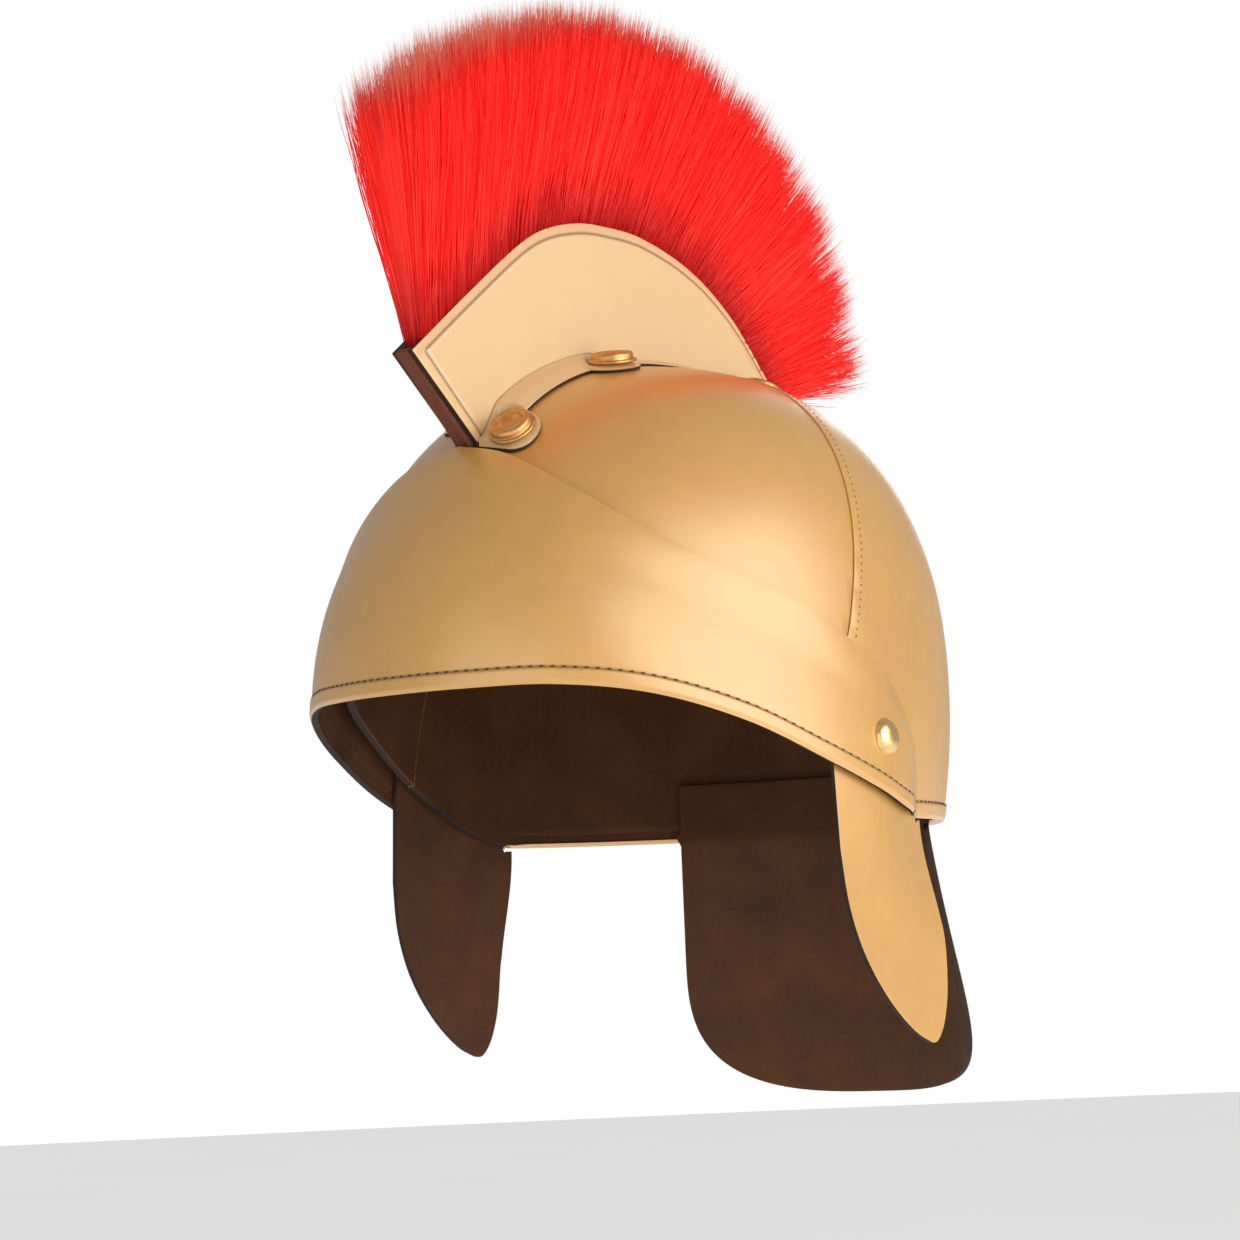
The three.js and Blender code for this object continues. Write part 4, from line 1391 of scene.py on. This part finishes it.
@dataclass
class Fasteners:
    """Ringed rivets of the crest's feet and domed studs at the ears."""

    crest: CrestForm
    visor: Visor
    finishes: Finishes
    rivet_radius: float = 6.5 * MM
    rivet_profile: Rows = (
        (1.17, 0.0), (1.17, 0.5), (1.14, 0.75), (1.08, 0.85), (1.02, 0.85), (1.0, 0.95), (1.01, 1.6),
        (1.0, 2.3), (0.97, 2.75), (0.92, 3.0), (0.86, 3.1), (0.8, 3.02), (0.75, 2.75), (0.71, 2.5),
        (0.66, 2.45), (0.62, 2.55), (0.58, 2.8), (0.52, 3.0), (0.45, 3.1), (0.38, 3.05), (0.32, 2.85),
        (0.26, 2.65), (0.18, 2.55), (0.09, 2.52), (0.0, 2.51),
    )
    stud_radius: float = 5.6 * MM
    stud_height: float = 3.0 * MM
    stud_lip: float = 0.2 * MM
    stud_sunk: float = 0.05 * MM
    stud_turn: float = math.radians(88)
    stud_level: float = -17.5 * MM

    def rivet(self, side: Side, name: str, length: float) -> None:
        """Makes one ringed rivet head with its washer.

        Args:
            side: the foot's side.
            name: its place along the foot.
            length: its distance from the toe.
        """
        form = self.crest
        y = form.foot_y(length)
        foot = Vector((side.value * form.rosette_x, y, form.dome.over(form.rosette_x, y)))
        normal = form.dome.normal(foot)
        bm = lathe([(out * self.rivet_radius, up * MM) for out, up in self.rivet_profile])
        stand(bm, form.dome.seat(foot + normal * (form.sheet + 0.3 * MM)), normal)
        place = f"{name}_{side.label}"
        piece(f"rivet_{place}", bm, [self.finishes.brass], "gold_metal", f"rosette_{place}")

    def stud(self, side: Side) -> None:
        """Makes one domed stud on its flat lip."""
        turn = side.value * self.stud_turn
        dome = [
            (self.stud_radius * 0.95 * math.cos(angle), self.stud_height * (0.12 + 0.88 * math.sin(angle)))
            for angle in steps(0, math.pi / 2, 12)
        ]
        bm = lathe([(self.stud_radius, 0.0), (self.stud_radius, self.stud_lip), *dome])
        normal = self.visor.form.normal(turn, self.stud_level)
        stand(bm, self.visor.face(turn, self.stud_level, -self.stud_sunk), normal)
        piece(f"stud_{side.label}", bm, [self.finishes.metal], "gold_metal", f"side_stud_{side.label}")

    def build(self) -> None:
        """Makes every rivet and stud."""
        for side in Side:
            for name, length in self.crest.rosette_lengths(side).items():
                self.rivet(side, name, length)
            self.stud(side)


@dataclass(frozen=True)
class Stitch:
    """Sizes of the stitches of one row."""

    pitch: float
    long: float
    thick: float


@dataclass
class Stitching:
    """Thread of the hems and of the seam over the crown."""

    dome: Dome
    visor: Visor
    finishes: Finishes
    hem: Stitch = Stitch(3.3 * MM, 2.1 * MM, 1.05 * MM)
    seam: Stitch = Stitch(2.4 * MM, 1.0 * MM, 0.4 * MM)
    seam_aside: float = 3.2 * MM
    crest_clear: float = 16 * MM
    visor_clear: float = 2 * MM

    def row(self, name: str, path: Sequence[tuple[Vector, Vector]], size: Stitch) -> None:
        """Sews one row.

        Args:
            name: the piece's name.
            path: points along the row, each with the leather's outward direction.
            size: sizes of its stitches.
        """
        bm = bmesh.new()
        walked, due = 0.0, 0.0
        for (a, n_a), (b, _) in zip(path, path[1:]):
            span = (b - a).length
            while span > 0 and due <= walked + span:
                place = a.lerp(b, (due - walked) / span)
                self.stitch(bm, place, (b - a).normalized(), n_a, size)
                due += size.pitch
            walked += span
        piece(name, bm, [self.finishes.thread], "brown_leather")

    def stitch(self, bm: BMesh, place: Vector, along: Vector, normal: Vector, size: Stitch) -> None:
        """Adds one stitch, a short rounded bar that dips at both ends."""
        aside = normal.cross(along).normalized()
        upright = along.cross(aside).normalized()
        turned = Matrix((along * size.long, aside * size.thick, upright * size.thick)).transposed()
        matrix = Matrix.Translation(place) @ turned.to_4x4()
        made = bmesh.ops.create_icosphere(bm, subdivisions=1, radius=0.5, matrix=matrix)
        for vert in made["verts"]:
            reach = (vert.co - place).dot(along) / (size.long / 2)
            vert.co -= upright * size.thick * (0.1 + 0.3 * reach * reach)

    def build(self) -> None:
        """Sews the visor's hem, the rear hem and the seam."""
        band = self.visor.form
        end = math.radians(band.end_turn - 3)
        path = []
        for turn in steps(-end, end, 400):
            level = band.low(turn) + self.visor.hem.height
            path.append((self.visor.face(turn, level, self.dome.thread_lift), band.normal(turn, level)))
        self.row("visor_stitches", path, self.hem)
        half = math.radians(178 - band.end_turn)
        path = []
        for past in steps(-half, half, 300):
            turn = past + math.pi if past <= 0 else past - math.pi
            path.append(self.dome.sewn(turn, self.dome.rim(turn) + self.dome.hem.height))
        self.row("rear_stitches", path, self.hem)
        for side in Side:
            self.row(f"seam_stitches_{side.label}", self.seam_path(side), self.seam)

    def seam_path(self, side: Side) -> list[tuple[Vector, Vector]]:
        """Points just behind the seam, from beside the crest down to the visor."""
        form, band = self.dome.form, self.visor.form
        path = []
        for level in steps(104 * MM, 4 * MM, 240):
            low, high = math.radians(1), math.radians(179)
            for _ in range(30):
                middle = (low + high) / 2
                if form.behind_seam(form.point(middle, level)) > self.seam_aside:
                    high = middle
                else:
                    low = middle
            turn = side.value * low
            beside_crest = abs(form.point(turn, level).x) < self.crest_clear
            if not beside_crest and level >= band.top(turn) + self.visor_clear:
                path.append(self.dome.sewn(turn, level))
        return path


@dataclass
class Plume:
    """The brush of hair: fine strands over a combed core."""

    form: CrestForm
    finishes: Finishes
    packs: int = 5
    strands: int = 4100
    thickness: float = 0.19 * MM
    rings: int = 7
    seed: int = 5
    sunk: float = 3.5 * MM
    root_width: float = 2.1 * MM
    clumping: float = 0.09
    clumps: Pair = (190, 47)
    strays: float = 95
    reach_spread: float = 0.022
    short_share: float = 0.12
    shortest: float = 0.75
    longest: float = 1.04
    aim_spread: float = 0.012
    bowing: float = 0.015
    waviness: float = 1.2 * MM
    samples: int = 400
    core_columns: int = 90
    core_rows: int = 28
    core_root: float = 1.6 * MM
    core_sunk: float = 3 * MM
    core_reach: float = 0.8
    core_share: float = 0.72
    comb_depth: float = 0.02
    combs: float = 260

    def template(self) -> BMesh:
        """One strand, three-sided and closed to a point, with its rings and corners numbered."""
        bm = bmesh.new()
        ring = bm.verts.layers.int.new("ring")
        corner = bm.verts.layers.int.new("corner")
        bmesh.ops.create_circle(bm, cap_ends=True, radius=1, segments=3)
        bmesh.ops.reverse_faces(bm, faces=bm.faces)
        bm.verts.ensure_lookup_table()
        for k, vert in enumerate(bm.verts):
            vert[corner] = k
        top = list(bm.faces)
        for k in range(1, self.rings):
            made = bmesh.ops.extrude_face_region(bm, geom=top, use_keep_orig=k == 1)["geom"]
            if k > 1:
                bmesh.ops.delete(bm, geom=top, context="FACES_ONLY")
            top = picked(made, bmesh.types.BMFace)
            for vert in picked(made, bmesh.types.BMVert):
                vert[ring] = k
                vert.co.z = k
        bmesh.ops.pointmerge(bm, verts=list(top[0].verts), merge_co=(0, 0, self.rings - 1))
        bmesh.ops.recalc_face_normals(bm, faces=bm.faces)
        return bm

    def sampled(self, read: Callable[[float], Sequence[float]]) -> np.ndarray:
        """Values of a function of the place along the crest, at even shares."""
        return np.array([list(read(share)) for share in steps(0, 1, self.samples)])

    def lines(self, rng: np.random.Generator) -> tuple[np.ndarray, np.ndarray, np.ndarray]:
        """Middle lines of one pack's strands.

        Args:
            rng: source of chance.

        Returns:
            Points by strand and ring, the reach of each strand, and its tint.
        """
        form, count = self.form, self.strands
        shares = np.linspace(0, 1, self.samples + 1)
        roots = self.sampled(form.edge_point)
        edges = self.sampled(form.edge_line)
        tips = self.sampled(form.tip)
        strides = np.linalg.norm(np.diff(tips, axis=0), axis=1)
        spread = np.concatenate([[0], np.cumsum(strides + strides.mean() * 0.5)])
        ends = np.interp((form.first_lock, form.last_lock), shares, spread)
        back = np.interp(rng.uniform(*ends, count), spread, shares)
        around = rng.uniform(-math.pi / 2, math.pi / 2, count)
        aside = np.sin(around) * rng.random(count) ** 0.35
        fine, coarse = self.clumps
        clump = 0.5 + 0.5 * np.sin(back * fine + aside * 3 + 2 * np.sin(back * coarse))
        reach = (1 - self.clumping * (1 - clump)) * (1 - 0.1 * np.abs(aside) ** 3)
        reach += rng.normal(0, self.reach_spread, count)
        short = rng.random(count) < self.short_share
        reach *= np.where(short, rng.uniform(self.shortest, 1.0, count), 1.0)
        reach = np.minimum(reach, self.longest)
        strayed = rng.normal(0, self.aim_spread, count) + self.aim_spread * np.sin(back * self.strays + aside)
        aim = np.clip(back + strayed, 0, 1)

        def at(table: np.ndarray, place: np.ndarray) -> np.ndarray:
            """Values of a sampled table, y and level."""
            return np.stack([np.interp(place, shares, table[:, c]) for c in (0, 1)], axis=1)

        root, edge = at(roots, back), at(edges, back)
        start = root + np.stack([edge[:, 1], -edge[:, 0]], axis=1) * self.sunk
        aimed = at(roots, aim)
        tip = aimed + (at(tips, aim) - aimed) * reach[:, None]
        t = np.linspace(0, 1, self.rings)[None, :]
        bow = np.sin(t * math.pi) * self.bowing * form.reach
        wave = rng.uniform(-self.waviness, self.waviness, count)[:, None]
        curl = wave * t * np.sin(rng.uniform(0, 2 * math.pi, count)[:, None] + t * 5)
        fanned = np.clip((t + 0.25) / 1.35, 0, 1)
        fanned = fanned * fanned * (3 - 2 * fanned)
        x = aside[:, None] * (self.root_width * (1 - fanned) + form.half_width * fanned) + curl * 0.5
        y = start[:, :1] * (1 - t) + tip[:, :1] * t - bow * 0.3 + curl
        z = start[:, 1:] * (1 - t) + tip[:, 1:] * t + bow * 0.2 + form.dome.brow
        return np.stack([x, y, z], axis=2), reach, rng.random(count)

    def pack(self, number: int, rng: np.random.Generator) -> None:
        """Makes one pack of strands as a single mesh."""
        bm = self.template()
        each = len(bm.verts)
        while len(bm.verts) < self.strands * each:
            spare = self.strands * each - len(bm.verts)
            bm.verts.ensure_lookup_table()
            taken = set(bm.verts[:spare])
            faces = [f for f in bm.faces if f.verts[0] in taken]
            bmesh.ops.duplicate(bm, geom=[*taken, *faces])
        nodes = ["plume"] if number == 0 else []
        mesh = piece(f"plume_hair_{number}", bm, [self.finishes.hair], "red_hair", *nodes).data
        ring, corner = (np.zeros(len(mesh.vertices), np.int32) for _ in range(2))
        mesh.attributes["ring"].data.foreach_get("value", ring)
        mesh.attributes["corner"].data.foreach_get("value", corner)
        line, reach, tint = self.lines(rng)
        strand = np.arange(len(ring)) // each
        ahead = np.gradient(line, axis=1)
        ahead /= np.linalg.norm(ahead, axis=2, keepdims=True)
        aside = np.cross(ahead, (1.0, 0.0, 0.0))
        aside /= np.linalg.norm(aside, axis=2, keepdims=True)
        other = np.cross(ahead, aside)
        angle = (corner * 2 * math.pi / 3)[:, None]
        share = ring / (self.rings - 1)
        thick = self.thickness * (1 - 0.6 * share ** 2) * (share < 1)
        out = aside[strand, ring] * np.cos(angle) + other[strand, ring] * np.sin(angle)
        places = line[strand, ring] + out * thick[:, None]
        mesh.vertices.foreach_set("co", places.astype(np.float32).ravel())
        for label, values in (("along", share * reach[strand]), ("lot", tint[strand])):
            layer = mesh.attributes.new(label, "FLOAT", "POINT")
            layer.data.foreach_set("value", values.astype(np.float32))
        mesh.update()

    def core(self) -> None:
        """Makes the combed core that closes the brush between its strands."""
        form = self.form

        def place(u: float, v: float) -> Vector:
            """Point of the core's face at its shares."""
            back = mix(form.first_lock, form.last_lock, u)
            angle = v * 2 * math.pi
            across, up = math.sin(angle), (1 - math.cos(angle)) / 2
            comb = self.comb_depth * math.sin(back * self.combs + up * 4) * up
            line = form.edge_line(back)
            start = form.edge_point(back) + Vector((line.y, -line.x)) * self.core_sunk
            middle = start.lerp(form.tip(back, self.core_reach + comb), up)
            width = mix(self.core_root, form.half_width * self.core_share, ease(up, -0.1, 1.0))
            narrowed = min(ease(u, -0.02, 0.06), ease(1 - u, -0.02, 0.06))
            return form.dome.seat(Vector((across * width * mix(0.35, 1, narrowed), middle.x, middle.y)))

        bm = skin(self.core_columns, self.core_rows, place)
        bmesh.ops.holes_fill(bm, edges=[e for e in bm.edges if e.is_boundary], sides=0)
        bmesh.ops.recalc_face_normals(bm, faces=bm.faces)
        layers = bm.verts.layers.float
        along, lot = layers.new("along"), layers.new("lot")
        u_layer, v_layer = layers["u"], layers["v"]
        for vert in bm.verts:
            vert[along] = (1 - math.cos(vert[v_layer] * 2 * math.pi)) / 2 * 0.6
            vert[lot] = 0.5 + 0.5 * math.sin(vert[u_layer] * 700)
        piece("plume_core", bm, [self.finishes.hair], "red_hair")

    def build(self) -> None:
        """Makes the core and every pack of strands."""
        rng = np.random.default_rng(self.seed)
        self.core()
        for number in range(self.packs):
            self.pack(number, rng)


@dataclass
class Studio:
    """Camera, soft lights, white backdrop and a plain pale floor."""

    eye: Triple = (0.849348, -0.980432, -0.193996)
    right: Triple = (0.74756038, 0.66276577, -0.04353172)
    up: Triple = (0.09244932, -0.03892672, 0.9949562)
    back: Triple = (0.65772836, -0.74781431, -0.09037232)
    lens: float = 119.41
    sensor: float = 36
    aim: Triple = (0, 0, -0.08)
    lights: tuple[tuple[str, Triple, float, Pair], ...] = (
        ("key", (2.1, 0.0, 0.35), 54, (2.5, 2.2)),
        ("fill", (0.3, -2.4, -0.3), 14, (2.0, 2.0)),
        ("rim", (-1.2, 1.6, 0.9), 12, (1.0, 1.4)),
    )
    room: float = 0.4
    floor_level: float = -0.5
    floor_radius: float = 9

    def camera(self) -> None:
        """Sets the camera at the photograph's viewing angle."""
        data = bpy.data.cameras.new("camera")
        data.lens = self.lens
        data.sensor_width = self.sensor
        made = bpy.data.objects.new("camera", data)
        turned = Matrix((self.right, self.up, self.back)).transposed().to_4x4()
        made.matrix_world = Matrix.Translation(self.eye) @ turned
        bpy.context.scene.collection.objects.link(made)
        bpy.context.scene.camera = made

    def light(self, name: str, place: Triple, power: float, size: Pair) -> None:
        """Adds one soft light that faces the helmet.

        Args:
            name: its name.
            place: where it stands.
            power: its power in watts.
            size: its width and height.
        """
        data = bpy.data.lights.new(name, "AREA")
        data.energy = power
        data.shape = "RECTANGLE"
        data.size, data.size_y = size
        made = bpy.data.objects.new(name, data)
        made.location = place
        made.rotation_euler = (Vector(self.aim) - Vector(place)).to_track_quat("-Z", "Y").to_euler()
        bpy.context.scene.collection.objects.link(made)

    def backdrop(self) -> None:
        """Hangs a white backdrop, brighter to the eye than the room is to the helmet."""
        world = bpy.data.worlds.new("studio")
        world.use_nodes = True
        tree = world.node_tree
        ground = tree.nodes["Background"]
        seen = tree.nodes.new("ShaderNodeLightPath")
        strength = Wire(tree, seen.outputs["Is Camera Ray"]) * (1 - self.room) + self.room
        tree.links.new(strength.socket, ground.inputs["Strength"])
        ground.inputs["Color"].default_value = (1.0, 1.0, 1.0, 1.0)
        bpy.context.scene.world = world

    def floor(self) -> None:
        """Lays the floor, a wide flat disc below the helmet."""
        bm = bmesh.new()
        bmesh.ops.create_circle(bm, cap_ends=True, radius=self.floor_radius, segments=64)
        bmesh.ops.translate(bm, vec=(0, 0, self.floor_level), verts=bm.verts)
        mesh = bpy.data.meshes.new("floor")
        bm.to_mesh(mesh)
        bm.free()
        made = bpy.data.objects.new("floor", mesh)
        mesh.materials.append(PlainFloor().material())
        bpy.context.scene.collection.objects.link(made)
        made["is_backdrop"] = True

    def build(self) -> None:
        """Sets up the studio."""
        self.camera()
        self.backdrop()
        bpy.context.scene.view_settings.view_transform = "Standard"
        for light in self.lights:
            self.light(*light)
        self.floor()


def write_sizes() -> None:
    """Works out the boxes of the part and of the dressed model."""
    boxes = {"cad": cad_box, "visual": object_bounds()}
    plain = {name: [list(corner) for corner in box] for name, box in boxes.items()}


def main() -> None:
    """Builds the helmet and its studio."""
    logging.basicConfig(level=logging.INFO, format="%(name)s: %(message)s")
    finishes = Finishes()
    dome_form = DomeForm()
    visor_form = VisorForm(dome_form)
    crest_form = CrestForm(dome_form)
    dome = Dome(dome_form, visor_form, finishes)
    visor = Visor(visor_form, finishes)
    dome.build()
    visor.build()
    for side in Side:
        CheekGuard(side, visor_form, finishes).build()
    NeckGuard(dome_form, finishes).build()
    CrestHolder(crest_form, finishes).build()
    Fasteners(crest_form, visor, finishes).build()
    Stitching(dome, visor, finishes).build()
    Plume(crest_form, finishes).build()
    Studio().build()
    write_sizes()


if __name__ == "__main__":
    main()
